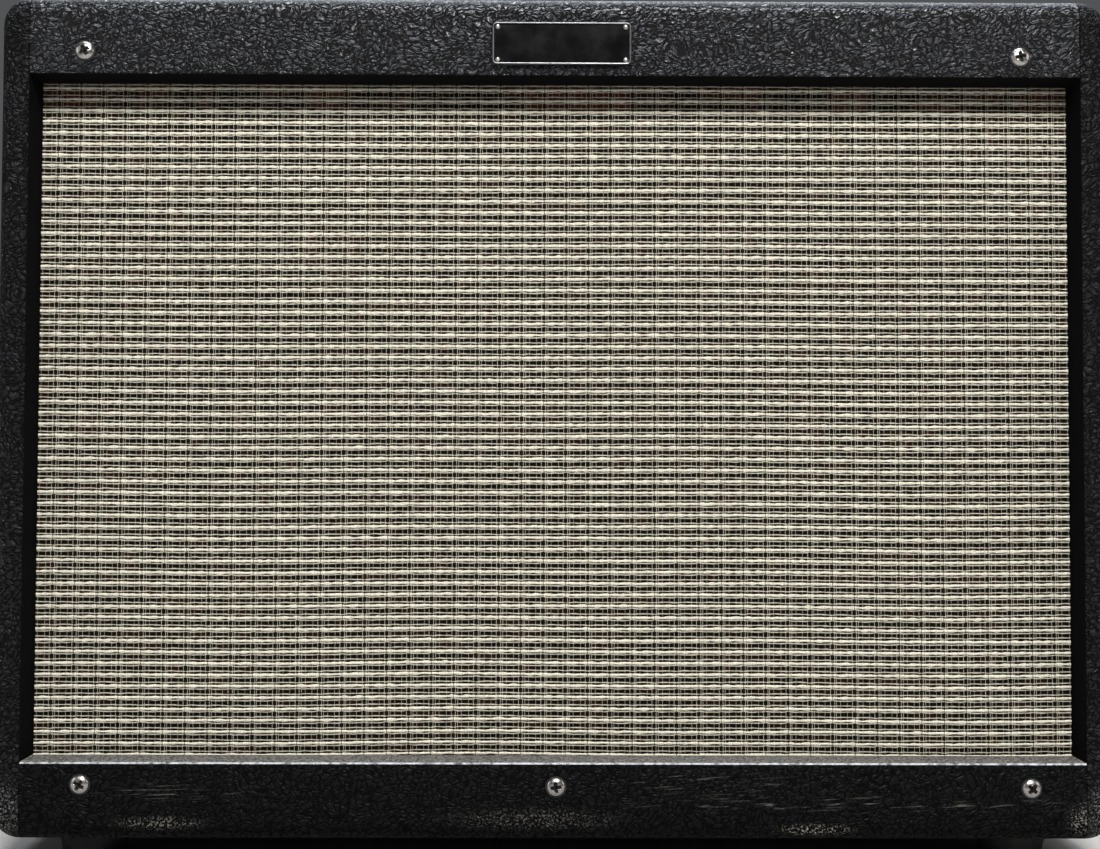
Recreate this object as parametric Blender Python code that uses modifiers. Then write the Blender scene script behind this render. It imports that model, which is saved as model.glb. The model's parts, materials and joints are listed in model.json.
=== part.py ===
"""Tube combo amplifier: one 12-inch speaker, valve chassis, controls on top at the back.

Metres, +Z up, the front looks along -Y, the floor is z = 0. Left and right are as seen from the front.
"""

import math

import bmesh
import bpy
from mathutils import Matrix, Vector

for leftover in list(bpy.data.objects):
    bpy.data.objects.remove(leftover, do_unlink=True)

# Clearance between two pieces that touch
GAP = 0.0003

# Cabinet
CABINET_WIDTH = 0.597
CABINET_DEPTH = 0.2667
CABINET_HEIGHT = 0.4504
BOARD = 0.0167
CORNER_RADIUS = 0.0155
EDGE_RADIUS = 0.0095
OPENING_EDGE_RADIUS = 0.0012
UPPER_PANEL_HEIGHT = 0.0432
LOWER_PANEL_HEIGHT = 0.0416
FRONT_PANEL_THICKNESS = 0.019
CLOTH_THICKNESS = 0.001
BAFFLE_THICKNESS = 0.012
BACK_PANEL_THICKNESS = 0.010
BACK_PANEL_EDGE = 0.002
UPPER_BACK_PANEL_HEIGHT = 0.132
LOWER_BACK_PANEL_HEIGHT = 0.117
CLEAT = 0.018
TOP_BOARD_REAR_EDGE = 0.006
CONTROL_OPENING_DEPTH = 0.107

# Feet
FOOT_HEIGHT = 0.016
FOOT_RADIUS = 0.019
FOOT_SOLE_RADIUS = 0.0165
FOOT_SOLE_EDGE = 0.001
FOOT_SCREW_RADIUS = 0.006
FOOT_SCREW_DEPTH = 0.007
FOOT_FROM_SIDE = 0.045
FOOT_FROM_EDGE = 0.040

# Badge plate
BADGE_WIDTH = 0.0747
BADGE_HEIGHT = 0.0231
BADGE_THICKNESS = 0.002
BADGE_RIM = 0.0016
BADGE_RIM_SLOPE = 0.0003
BADGE_RIM_DEPTH = 0.0006
BADGE_CORNER = 0.0026
BADGE_OFFSET = 0.003
BADGE_ABOVE_PANEL_EDGE = 0.0168

# Strap handle and its end caps
HANDLE_LENGTH = 0.240
HANDLE_Y = -0.043
HANDLE_LIFT = 0.006
STRAP_WIDTH = 0.026
STRAP_END_WIDTH = 0.020
STRAP_THICKNESS = 0.008
STRAP_END_THICKNESS = 0.004
STRAP_RISE = 0.010
STRAP_EDGE = 0.0016
STRAP_STATIONS = 16
CAP_LENGTH = 0.040
CAP_WIDTH = 0.034
CAP_WALL = 0.003
CAP_ROUNDING = 0.005
TONGUE = 0.026
TONGUE_ROOM = 0.0016

# Chassis and control panel
CHASSIS_HEIGHT = 0.060
CHASSIS_TUCK = 0.012
CHASSIS_STEEL = 0.0016
CHASSIS_LIP = 0.010
PANEL_STEEL = 0.0015

# Controls along the panel, from the lamp at the right to the second input, with the step to each one
LAMP_FROM_END = 0.020
INPUT_FROM_END = 0.032
KNOB_PITCH = 0.036
SOCKET_PITCH = 0.025
SWITCH_PITCH = 0.025
BUTTON_FROM_KNOB = 0.025
INPUT_PITCH = 0.028
TONE_KNOBS = ("presence", "reverb", "master", "middle", "bass", "treble")
GAIN_KNOBS = ("drive", "volume")
KNOB_NAMES = TONE_KNOBS + GAIN_KNOBS
KNOB_SETTINGS = (4.0, 3.0, 5.0, 6.5, 5.5, 7.0, 4.5, 6.0)
DIAL_STEPS = 12.0
DIAL_SWEEP = 300.0
PANEL_STEPS = (
    [("power", SWITCH_PITCH), ("standby", SWITCH_PITCH)]
    + [("preamp_out", 0.030), ("power_in", SOCKET_PITCH), ("footswitch", SOCKET_PITCH)]
    + [("presence", 0.034)]
    + [(name, KNOB_PITCH) for name in TONE_KNOBS[1:]]
    + [("select", BUTTON_FROM_KNOB), ("drive", BUTTON_FROM_KNOB), ("volume", KNOB_PITCH)]
    + [("bright", BUTTON_FROM_KNOB), ("input_1", INPUT_PITCH), ("input_2", INPUT_PITCH)]
)

# Potentiometers, knobs and shafts
SHAFT_RADIUS = 0.003
SHAFT_CLEARANCE = 0.0004
SHAFT_LENGTH = 0.010
BUSHING_WALL = 0.0013
BUSHING_RISE = 0.0023
POT_RADIUS = 0.0085
POT_HEIGHT = 0.008
KNOB_RADIUS = 0.010
KNOB_SKIRT = 0.0045
KNOB_SKIRT_TOP = 0.0056
KNOB_SKIRT_EDGE = 0.0005
KNOB_SHOULDER = 0.0078
KNOB_HEIGHT = 0.015
KNOB_TIP = 0.017
KNOB_TIP_WIDTH = 0.0022
KNOB_TAIL = 0.011
KNOB_BAR_WIDTH = 0.010
KNOB_DRAFT = 0.86
KNOB_EDGE = 0.0007
KNOB_BAR_FOOT = 0.0016
BOARD_SHEET = 0.0016
BOARD_MARGIN = 0.018
BOARD_DEPTH = 0.052

# Push buttons
BUTTON_RADIUS = 0.0036
BUTTON_RISE = 0.007
BUTTON_TRAVEL = 0.0025
BUTTON_EDGE = 0.0008
BUTTON_FROM_ROW = 0.013
BUTTON_SWITCH_WIDTH = 0.010

# Toggle switches
TOGGLE_TILT = 12.0
TOGGLE_BUSHING_RADIUS = 0.0055
TOGGLE_BUSHING_RISE = 0.008
TOGGLE_BORE_RADIUS = 0.0034
TOGGLE_BALL_RADIUS = 0.0029
TOGGLE_BALL_DEPTH = 0.0025
TOGGLE_BALL_TOP = 58.0
TOGGLE_LEVER_LENGTH = 0.0125
TOGGLE_LEVER_NECK = 0.0015
TOGGLE_NECK_START = 0.0038
TOGGLE_LEVER_HEAD = 0.0026
TOGGLE_HEAD_EDGE = 0.0012
TOGGLE_BODY = (0.013, 0.026, 0.020)

# Jack sockets
JACK_SLEEVE_RADIUS = 0.0055
JACK_BORE_RADIUS = 0.00335
JACK_BORE_DEPTH = 0.0285
JACK_RISE = 0.003
JACK_BODY = 0.015
JACK_BODY_DEPTH = 0.028

# Pilot lamp
LAMP_BEZEL_RADIUS = 0.0085
LAMP_BEZEL_RISE = 0.004
LAMP_BEZEL_EDGE = 0.001
LAMP_JEWEL_RADIUS = 0.0066
LAMP_JEWEL_RISE = 0.009
LAMP_JEWEL_CROWN = (0.0036, 0.008)
LAMP_JEWEL_SHOULDER = (0.0058, 0.006)
LAMP_BODY_RADIUS = 0.0068
LAMP_BODY_LENGTH = 0.024

# Mains inlet and fuse holder, in the chassis floor at the right end
INLET_FROM_END = 0.020
INLET_FROM_REAR = 0.029
FUSE_FROM_INLET = 0.048
INLET_LENGTH = 0.0276
INLET_WIDTH = 0.020
INLET_DEPTH = 0.022
INLET_FLANGE = 0.0018
INLET_FLANGE_THICKNESS = 0.0025
INLET_CAVITY_LENGTH = 0.0242
INLET_CAVITY_WIDTH = 0.0166
INLET_CAVITY_DEPTH = 0.017
FUSE_BODY_RADIUS = 0.006
FUSE_BODY_LENGTH = 0.028
FUSE_FLANGE_RADIUS = 0.0088
FUSE_FLANGE_THICKNESS = 0.0025
FUSE_CAP_RADIUS = 0.0068
FUSE_CAP_LENGTH = 0.011
FUSE_CAP_EDGE = 0.001

# Speaker sockets in the chassis floor
SPEAKER_JACK_X = 0.002
SPEAKER_JACK_PITCH = 0.028
SPEAKER_JACK_FROM_REAR = 0.019

# Transformers and choke, hung from the chassis floor: each one's place as a share of half its length, and
# its distance from its rear edge
POWER_TRANSFORMER_PLACE = (0.68, 0.059)
POWER_CORE = (0.092, 0.040, 0.076)
POWER_BELL = 0.016
POWER_BELL_EDGE = 0.011
OUTPUT_TRANSFORMER_PLACE = (-0.075, 0.073)
OUTPUT_CORE = (0.066, 0.026, 0.055)
OUTPUT_COIL = 0.013
CHOKE_PLACE = (-0.36, 0.049)
CHOKE_CORE = (0.042, 0.018, 0.036)
CHOKE_COIL = 0.009
COIL_ROUNDING = 0.7
STRAP_STEEL = 0.0015
STRAP_FOOT = 0.010
STRAP_SHARE = 0.64

# Power valves and their sockets, placed as the transformers are
POWER_TUBE_PLACES = ((0.40, 0.051), (0.20, 0.051))
POWER_SOCKET_RADIUS = 0.019
POWER_SOCKET_HEIGHT = 0.012
POWER_SOCKET_BODY_RADIUS = 0.0171
POWER_SOCKET_FLANGE = 0.0036
POWER_BASE_RADIUS = 0.0178
POWER_BASE_HEIGHT = 0.024
POWER_GLASS_RADIUS = 0.0225
POWER_GLASS_HEIGHT = 0.086
POWER_GLASS_FOOT_RADIUS = 0.0167
POWER_GLASS_SHOULDER = 0.0135
POWER_DOME_STEPS = 5

# Preamp valves and their shields
PREAMP_TUBE_PLACES = ((-0.53, 0.051), (-0.69, 0.051), (-0.85, 0.051))
PREAMP_RADIUS = 0.0102
PREAMP_HEIGHT = 0.054
PREAMP_TIP = ((0.0029, 0.0015), (0.0041, 0.005), (0.0087, 0.0075))
PREAMP_SHOULDER = 0.012
SHIELD_RADIUS = 0.0122
SHIELD_WALL = 0.0006
SHIELD_HEIGHT = 0.048
SHIELD_SKIRT_RADIUS = 0.0145
SHIELD_SKIRT_HEIGHT = 0.008

# Speaker, measured along its axis from the front of its rim
BASKET_RIM_WIDTH = 0.0215
CUTOUT_UNDER_RIM = 0.013
GASKET_THICKNESS = 0.003
GASKET_WIDTH = 0.010
BASKET_STEEL = 0.0016
BASKET_SEAT_RADIUS = 0.133
BASKET_STEP = 0.008
BASKET_SHELF_DEPTH = 0.066
BASKET_SHELF_OUTER = 0.075
BASKET_SHELF_INNER = 0.058
BASKET_DEPTH = 0.085
BASKET_FLOOR_RADIUS = 0.056
BASKET_HOLE_RADIUS = 0.030
WINDOW_COUNT = 8
WINDOW_RIB_ANGLE = 17.0
WINDOW_OUTER = 0.124
WINDOW_INNER = 0.081
WINDOW_CORNER = 0.005
STRAIGHT_ANGLE = 150.0
MAGNET_RADIUS = 0.070
MAGNET_THICKNESS = 0.020
PLATE_THICKNESS = 0.006
FRONT_PLATE_RADIUS = 0.052
BACK_PLATE_RADIUS = 0.060
MAGNET_CHAMFER = 0.0015
POLE_RADIUS = 0.0215
POLE_GAP_RADIUS = 0.0234
POLE_GAP_DEPTH = 0.024
COIL_RADIUS = 0.022
COIL_WALL = 0.0008
COIL_DEPTH = 0.100
CONE_TRAVEL = 0.003
CONE_PAPER = 0.0010
CONE_EDGE_ROOM = 0.0115
CONE_FRONT = 0.002
CONE_NECK_DEPTH = 0.052
CONE_BULGE = 0.005
CONE_STATIONS = 4
DUST_CAP_RADIUS = 0.031
DUST_CAP_RISE = 0.012
DUST_CAP_STATIONS = 3
PLEAT_SHEET = 0.0008
PLEAT_HEIGHT = 0.0018
SURROUND_PLEAT_COUNT = 2
SURROUND_LAND = 0.007
SPIDER_PLEAT_COUNT = 3
SPIDER_LAND = 0.007
SPIDER_CLEARANCE = 0.0006

# Reverb tank on the cabinet floor
TANK_LENGTH = 0.425
TANK_DEPTH = 0.111
TANK_HEIGHT = 0.033
TANK_FLANGE = 0.008
TANK_STEEL = 0.0015
TANK_ROUNDING = 0.003
TANK_SOCKET_RADIUS = 0.004
TANK_SOCKET_LENGTH = 0.007
TANK_SOCKET_FROM_END = 0.030
TANK_FROM_BACK_PANEL = 0.004

# Facets of round pieces
SPEAKER_FACETS = 32
CUTOUT_FACETS = 40
ROUND_FACETS = 16
SMALL_FACETS = 12
HOLE_FACETS = 10
CORNER_FACETS = 5
EDGE_FACETS = 3
ARC_STEPS = 6

# Places that follow from the sizes
FRONT = -CABINET_DEPTH / 2
BACK = CABINET_DEPTH / 2
BOTTOM = FOOT_HEIGHT + GAP
TOP = BOTTOM + CABINET_HEIGHT
OUTER_X = CABINET_WIDTH / 2
INNER_X = OUTER_X - BOARD
INSIDE_BOTTOM = BOTTOM + BOARD
INSIDE_TOP = TOP - BOARD
UPPER_PANEL_EDGE = TOP - UPPER_PANEL_HEIGHT
LOWER_PANEL_EDGE = BOTTOM + LOWER_PANEL_HEIGHT
PANEL_BACK = FRONT + FRONT_PANEL_THICKNESS
CLOTH_FRONT = PANEL_BACK + GAP
CLOTH_BACK = CLOTH_FRONT + CLOTH_THICKNESS
BAFFLE_FRONT = CLOTH_BACK + GAP
BAFFLE_BACK = BAFFLE_FRONT + BAFFLE_THICKNESS
TOP_BOARD_REAR = BACK - CONTROL_OPENING_DEPTH
BACK_PANEL_FRONT = BACK - GAP - BACK_PANEL_THICKNESS
CHASSIS_REAR = BACK_PANEL_FRONT - GAP
CHASSIS_FRONT = TOP_BOARD_REAR - CHASSIS_TUCK
CHASSIS_END = INNER_X - GAP
PANEL_TOP = INSIDE_TOP - GAP
PANEL_UNDERSIDE = PANEL_TOP - PANEL_STEEL
CHASSIS_TOP = PANEL_UNDERSIDE - GAP
CHASSIS_FLOOR = CHASSIS_TOP - CHASSIS_HEIGHT
CONTROL_Y = (TOP_BOARD_REAR + CHASSIS_REAR) / 2
UNDER_PANEL = PANEL_UNDERSIDE - GAP
BOARD_TOP = UNDER_PANEL - POT_HEIGHT
BUSHING_RADIUS = SHAFT_RADIUS + SHAFT_CLEARANCE + BUSHING_WALL
HANG_FROM = CHASSIS_FLOOR - GAP
INLET_Y = CHASSIS_REAR - INLET_FROM_REAR
FUSE_Y = INLET_Y - FUSE_FROM_INLET
SPEAKER_JACK_Y = CHASSIS_REAR - SPEAKER_JACK_FROM_REAR
GASKET_FRONT = BAFFLE_BACK + GAP
RIM_FRONT = GASKET_FRONT + GASKET_THICKNESS + GAP
SPEAKER_Z = (UPPER_PANEL_EDGE + LOWER_PANEL_EDGE) / 2
SPEAKER_RADIUS = BASKET_SEAT_RADIUS + BASKET_RIM_WIDTH
SPEAKER_CUTOUT_RADIUS = SPEAKER_RADIUS - CUTOUT_UNDER_RIM
CONE_RADIUS = BASKET_SEAT_RADIUS - CONE_EDGE_ROOM
SPEAKER_AXIS = (0.0, RIM_FRONT, SPEAKER_Z)
FACING_FRONT = (math.radians(90), 0.0, 0.0)
HANGING = (math.radians(180), 0.0, 0.0)
MERGE = 0.00001


def new_collection(name):
    """A collection of this name under the scene."""
    made = bpy.data.collections.new(name)
    bpy.context.scene.collection.children.link(made)
    return made


PARTS = new_collection("tube_combo_amplifier")
CUTTERS = new_collection("cutters")


def new_material(name, colour, roughness, metallic=0.0):
    """A plain Principled material."""
    made = bpy.data.materials.new(name)
    made.use_nodes = True
    shader = made.node_tree.nodes["Principled BSDF"]
    shader.inputs["Base Color"].default_value = (*colour, 1.0)
    shader.inputs["Roughness"].default_value = roughness
    shader.inputs["Metallic"].default_value = metallic
    return made


VINYL = new_material("black_vinyl", (0.028, 0.029, 0.032), 0.6)
CLOTH = new_material("grille_cloth", (0.34, 0.33, 0.30), 0.8)
PLYWOOD = new_material("plywood", (0.45, 0.30, 0.17), 0.75)
BADGE = new_material("badge_metal", (0.05, 0.05, 0.05), 0.3, 0.8)
RUBBER = new_material("rubber", (0.02, 0.02, 0.02), 0.8)
PLASTIC = new_material("black_plastic", (0.015, 0.015, 0.016), 0.45)
CHROME = new_material("chrome", (0.75, 0.75, 0.77), 0.12, 1.0)
STEEL = new_material("plated_steel", (0.55, 0.56, 0.58), 0.4, 1.0)
CIRCUIT = new_material("circuit_board", (0.03, 0.13, 0.06), 0.5)
IRON = new_material("black_iron", (0.03, 0.03, 0.032), 0.5, 0.6)
GLASS = new_material("valve_glass", (0.5, 0.52, 0.52), 0.05)
KNOB = new_material("knob_plastic", (0.012, 0.012, 0.013), 0.3)
JEWEL = new_material("lamp_jewel", (0.5, 0.02, 0.02), 0.1)
BASKET = new_material("basket_paint", (0.09, 0.09, 0.095), 0.45, 0.7)
FERRITE = new_material("ferrite", (0.06, 0.06, 0.065), 0.7)
PAPER = new_material("cone_paper", (0.025, 0.023, 0.021), 0.85)
TANK = new_material("tank_steel", (0.30, 0.31, 0.32), 0.4, 1.0)


def mesh_from(bm, name):
    """A bmesh made into a mesh."""
    mesh = bpy.data.meshes.new(name)
    bm.to_mesh(mesh)
    bm.free()
    return mesh


def add_part(name, mesh, material, location=(0.0, 0.0, 0.0), rotation=(0.0, 0.0, 0.0)):
    """A named sub-part of the amplifier."""
    part = bpy.data.objects.new(name, mesh)
    if not mesh.materials:
        mesh.materials.append(material)
    PARTS.objects.link(part)
    part.location = location
    part.rotation_euler = rotation
    return part


def add_cutter(name, mesh, location=(0.0, 0.0, 0.0), rotation=(0.0, 0.0, 0.0)):
    """A guide solid for a Boolean, kept out of the model."""
    cutter = bpy.data.objects.new(name, mesh)
    CUTTERS.objects.link(cutter)
    cutter.location = location
    cutter.rotation_euler = rotation
    cutter.hide_render = True
    cutter.display_type = "WIRE"
    return cutter


def shade(part, angle=32.0):
    """Smooth faces with sharp edges past an angle."""
    part.data.shade_smooth()
    part.data.set_sharp_from_angle(angle=math.radians(angle))
    return part


def boolean(part, cutter, operation):
    """Cut a part by another solid, or join that solid to it."""
    modifier = part.modifiers.new(operation.lower() + "_" + cutter.name, "BOOLEAN")
    modifier.operation = operation
    modifier.object = cutter
    modifier.solver = "EXACT"
    return part


def add_box(bm, low, high):
    """A box between two corners, added to a bmesh; returns its vertices."""
    low = Vector(low)
    high = Vector(high)
    size = high - low
    placed = Matrix.Translation((low + high) / 2) @ Matrix.Diagonal((*size, 1.0))
    return bmesh.ops.create_cube(bm, size=1.0, matrix=placed)["verts"]


def add_cylinder(bm, radius, low, high, segments=HOLE_FACETS, end_radius=None):
    """An upright cylinder between two points on one vertical line."""
    low = Vector(low)
    high = Vector(high)
    bmesh.ops.create_cone(
        bm,
        cap_ends=True,
        segments=segments,
        radius1=radius,
        radius2=radius if end_radius is None else end_radius,
        depth=(high - low).z,
        matrix=Matrix.Translation((low + high) / 2),
    )


def hole_radius(radius, facets=HOLE_FACETS):
    """The radius of a faceted hole whose flats clear a round piece."""
    return (radius + GAP) / math.cos(math.pi / facets)


def box_mesh(name, low, high):
    """The mesh of a plain box."""
    bm = bmesh.new()
    add_box(bm, low, high)
    return mesh_from(bm, name)


def on_plane(edge, axis, value):
    """True if both ends of an edge lie on a plane across an axis."""
    return all(abs(vertex.co[axis] - value) < MERGE for vertex in edge.verts)


def round_edges(bm, picks, radius, segments=EDGE_FACETS):
    """Round the edges that a test picks."""
    edges = [edge for edge in bm.edges if picks(edge)]
    bmesh.ops.bevel(bm, geom=edges, offset=radius, segments=segments, profile=0.5, affect="EDGES")


def turned(name, profile, facets, material, location=None, rotation=None, ring=False, cutter=False):
    """A turned piece: its profile of (radius, height) points runs down its outer side."""
    location = location or (0.0, 0.0, 0.0)
    rotation = rotation or (0.0, 0.0, 0.0)
    bm = bmesh.new()
    points = [bm.verts.new((radius, 0.0, height)) for radius, height in profile]
    for first, second in zip(points, points[1:]):
        bm.edges.new((first, second))
    if ring:
        bm.edges.new((points[-1], points[0]))
    mesh = bpy.data.meshes.new(name)
    bm.to_mesh(mesh)
    bm.free()
    if cutter:
        piece = add_cutter(name, mesh, location, rotation)
    else:
        piece = add_part(name, mesh, material, location, rotation)
    screw = piece.modifiers.new("turn", "SCREW")
    screw.axis = "Z"
    screw.angle = math.radians(360)
    screw.steps = facets
    screw.render_steps = facets
    screw.use_merge_vertices = True
    screw.merge_threshold = MERGE
    screw.use_smooth_shade = False
    return piece


def arc_points(centre, radius, start, end, count):
    """Points on an arc, with angles in degrees."""
    made = []
    for index in range(count + 1):
        angle = math.radians(start + (end - start) * index / count)
        made.append((centre[0] + radius * math.cos(angle), centre[1] + radius * math.sin(angle)))
    return made


def outline_prism(bm, outline, low, high):
    """A flat outline of (x, y) points, extruded from one height to another; returns the top vertices."""
    base = bm.faces.new([bm.verts.new((x, y, low)) for x, y in outline])
    grown = bmesh.ops.extrude_face_region(bm, geom=[base])["geom"]
    top = [item for item in grown if isinstance(item, bmesh.types.BMVert)]
    bmesh.ops.translate(bm, verts=top, vec=(0.0, 0.0, high - low))
    bmesh.ops.recalc_face_normals(bm, faces=bm.faces)
    return top


def applied(source, name):
    """The finished mesh of an object with its modifiers run; the object itself is removed."""
    bpy.context.view_layer.update()
    finished = source.evaluated_get(bpy.context.evaluated_depsgraph_get())
    mesh = bpy.data.meshes.new_from_object(finished)
    mesh.name = name
    bpy.data.objects.remove(source, do_unlink=True)
    return mesh


def panel_places():
    """Each control's place along the panel, whose length the steps share out."""
    row = 2 * CHASSIS_END - LAMP_FROM_END - INPUT_FROM_END
    fit = row / sum(step for _, step in PANEL_STEPS)
    x = CHASSIS_END - LAMP_FROM_END
    places = {"lamp": x}
    for name, step in PANEL_STEPS:
        x -= step * fit
        places[name] = x
    return places


PLACES = panel_places()
KNOB_PLACES = [PLACES[name] for name in KNOB_NAMES]
SWITCH_NAMES = ("power", "standby")
EFFECT_NAMES = ("preamp_out", "power_in", "footswitch")
INPUT_NAMES = ("input_1", "input_2")
BUTTONS = (
    ("channel", PLACES["select"], CONTROL_Y - BUTTON_FROM_ROW),
    ("more_drive", PLACES["select"], CONTROL_Y + BUTTON_FROM_ROW),
    ("bright", PLACES["bright"], CONTROL_Y),
)
SPEAKER_JACKS_X = (SPEAKER_JACK_X, SPEAKER_JACK_X - SPEAKER_JACK_PITCH)
INLET_X = CHASSIS_END - INLET_FROM_END


def side_board(name, side):
    """A side board with its outer corners and both outer edges rounded, and the cleat of the back panel."""
    bm = bmesh.new()
    outer = side * OUTER_X
    inner = side * INNER_X
    add_box(bm, (min(inner, outer), FRONT, BOTTOM), (max(inner, outer), BACK, TOP))

    def outer_corner(edge):
        return on_plane(edge, 0, outer) and (on_plane(edge, 2, TOP) or on_plane(edge, 2, BOTTOM))

    def outer_rim(edge):
        at_end = on_plane(edge, 1, FRONT) or on_plane(edge, 1, BACK)
        return at_end and not on_plane(edge, 0, inner)

    def inner_edge(edge):
        return on_plane(edge, 1, FRONT) and on_plane(edge, 0, inner)

    round_edges(bm, outer_corner, CORNER_RADIUS, CORNER_FACETS)
    round_edges(bm, outer_rim, EDGE_RADIUS)
    round_edges(bm, inner_edge, OPENING_EDGE_RADIUS, 1)
    board = shade(add_part(name, mesh_from(bm, name), VINYL))
    cleat_low = (inner, BACK_PANEL_FRONT - GAP - CLEAT, INSIDE_BOTTOM + GAP)
    cleat_high = (inner - side * CLEAT, BACK_PANEL_FRONT - GAP, INSIDE_BOTTOM + LOWER_BACK_PANEL_HEIGHT)
    low = [min(pair) for pair in zip(cleat_low, cleat_high)]
    high = [max(pair) for pair in zip(cleat_low, cleat_high)]
    low[0] -= BOARD / 2 if side < 0 else 0.0
    high[0] += BOARD / 2 if side > 0 else 0.0
    return boolean(board, add_cutter(name + "_cleat", box_mesh(name + "_cleat", low, high)), "UNION")


def cabinet_top():
    """The top board, which ends at the control panel."""
    bm = bmesh.new()
    add_box(bm, (-INNER_X + GAP, PANEL_BACK + GAP, INSIDE_TOP), (INNER_X - GAP, TOP_BOARD_REAR, TOP))

    def rear_edge(edge):
        return on_plane(edge, 1, TOP_BOARD_REAR) and on_plane(edge, 2, TOP)

    round_edges(bm, rear_edge, TOP_BOARD_REAR_EDGE)
    shade(add_part("cabinet_top", mesh_from(bm, "cabinet_top"), VINYL))


def cabinet_bottom():
    """The bottom board, rounded at the back."""
    bm = bmesh.new()
    add_box(bm, (-INNER_X + GAP, PANEL_BACK + GAP, BOTTOM), (INNER_X - GAP, BACK, INSIDE_BOTTOM))

    def rear_edge(edge):
        return on_plane(edge, 1, BACK) and on_plane(edge, 2, BOTTOM)

    round_edges(bm, rear_edge, EDGE_RADIUS)
    shade(add_part("cabinet_bottom", mesh_from(bm, "cabinet_bottom"), VINYL))


def front_panel(name, low, high, rounded, opening_edge):
    """A front panel between the side boards, with its long outer edge rounded."""
    bm = bmesh.new()
    add_box(bm, (-INNER_X + GAP, FRONT, low), (INNER_X - GAP, PANEL_BACK, high))
    round_edges(bm, lambda edge: on_plane(edge, 1, FRONT) and on_plane(edge, 2, rounded), EDGE_RADIUS)

    def inner_edge(edge):
        return on_plane(edge, 1, FRONT) and on_plane(edge, 2, opening_edge)

    round_edges(bm, inner_edge, OPENING_EDGE_RADIUS, 1)
    shade(add_part(name, mesh_from(bm, name), VINYL))


def baffle_board():
    """The baffle with the speaker's round hole."""
    low = (-INNER_X + GAP, BAFFLE_FRONT, INSIDE_BOTTOM + GAP)
    high = (INNER_X - GAP, BAFFLE_BACK, INSIDE_TOP - GAP)
    baffle = add_part("baffle_board", box_mesh("baffle_board", low, high), PLYWOOD)
    bm = bmesh.new()
    reach = BAFFLE_THICKNESS
    add_cylinder(bm, SPEAKER_CUTOUT_RADIUS, (0, 0, -reach), (0, 0, reach), CUTOUT_FACETS)
    centre = (0.0, (BAFFLE_FRONT + BAFFLE_BACK) / 2, SPEAKER_Z)
    cutter = add_cutter("speaker_cutout", mesh_from(bm, "speaker_cutout"), centre, FACING_FRONT)
    shade(boolean(baffle, cutter, "DIFFERENCE"))


def grille_cloth():
    """The cloth stretched over the baffle, behind the front panels."""
    low = (-INNER_X + GAP, CLOTH_FRONT, INSIDE_BOTTOM + GAP)
    high = (INNER_X - GAP, CLOTH_BACK, INSIDE_TOP - GAP)
    add_part("grille_cloth", box_mesh("grille_cloth", low, high), CLOTH)


def badge_plate():
    """The small plate with a raised rim and a bare face."""
    bm = bmesh.new()
    half = Vector((BADGE_WIDTH / 2, BADGE_THICKNESS / 2, BADGE_HEIGHT / 2))
    add_box(bm, -half, half)

    def corner(edge):
        return abs(edge.verts[0].co.y - edge.verts[1].co.y) > MERGE

    round_edges(bm, corner, BADGE_CORNER)
    bm.faces.ensure_lookup_table()
    face = min(bm.faces, key=lambda item: item.calc_center_median().y)
    bmesh.ops.inset_region(bm, faces=[face], thickness=BADGE_RIM)
    bmesh.ops.inset_region(bm, faces=[face], thickness=BADGE_RIM_SLOPE, depth=-BADGE_RIM_DEPTH)
    y = FRONT - GAP - BADGE_THICKNESS / 2
    z = UPPER_PANEL_EDGE + BADGE_ABOVE_PANEL_EDGE
    shade(add_part("badge_plate", mesh_from(bm, "badge_plate"), BADGE, (BADGE_OFFSET, y, z)))


def back_panel(name, low, high):
    """A back panel between the side boards, with soft edges at the back."""
    bm = bmesh.new()
    add_box(bm, (-INNER_X + GAP, BACK_PANEL_FRONT, low), (INNER_X - GAP, BACK - GAP, high))
    round_edges(bm, lambda edge: on_plane(edge, 1, BACK - GAP), BACK_PANEL_EDGE, 2)
    shade(add_part(name, mesh_from(bm, name), VINYL))


def foot(name, side, end):
    """A rubber foot with the recess of its screw."""
    profile = [
        (0.0, FOOT_HEIGHT),
        (FOOT_RADIUS, FOOT_HEIGHT),
        (FOOT_SOLE_RADIUS + FOOT_SOLE_EDGE, FOOT_SOLE_EDGE),
        (FOOT_SOLE_RADIUS, 0.0),
        (FOOT_SCREW_RADIUS, 0.0),
        (FOOT_SCREW_RADIUS, FOOT_SCREW_DEPTH),
        (0.0, FOOT_SCREW_DEPTH),
    ]
    place = (side * (OUTER_X - FOOT_FROM_SIDE), end * (BACK - FOOT_FROM_EDGE), 0.0)
    shade(turned(name, profile, ROUND_FACETS, RUBBER, place))


def strap_share(x):
    """How far along its rise the strap is: 0 in the end caps and 1 in the middle."""
    bent = HANDLE_LENGTH / 2 - TONGUE
    along = max(0.0, 1.0 - abs(x) / bent)
    return along * along * (3.0 - 2.0 * along)


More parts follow.
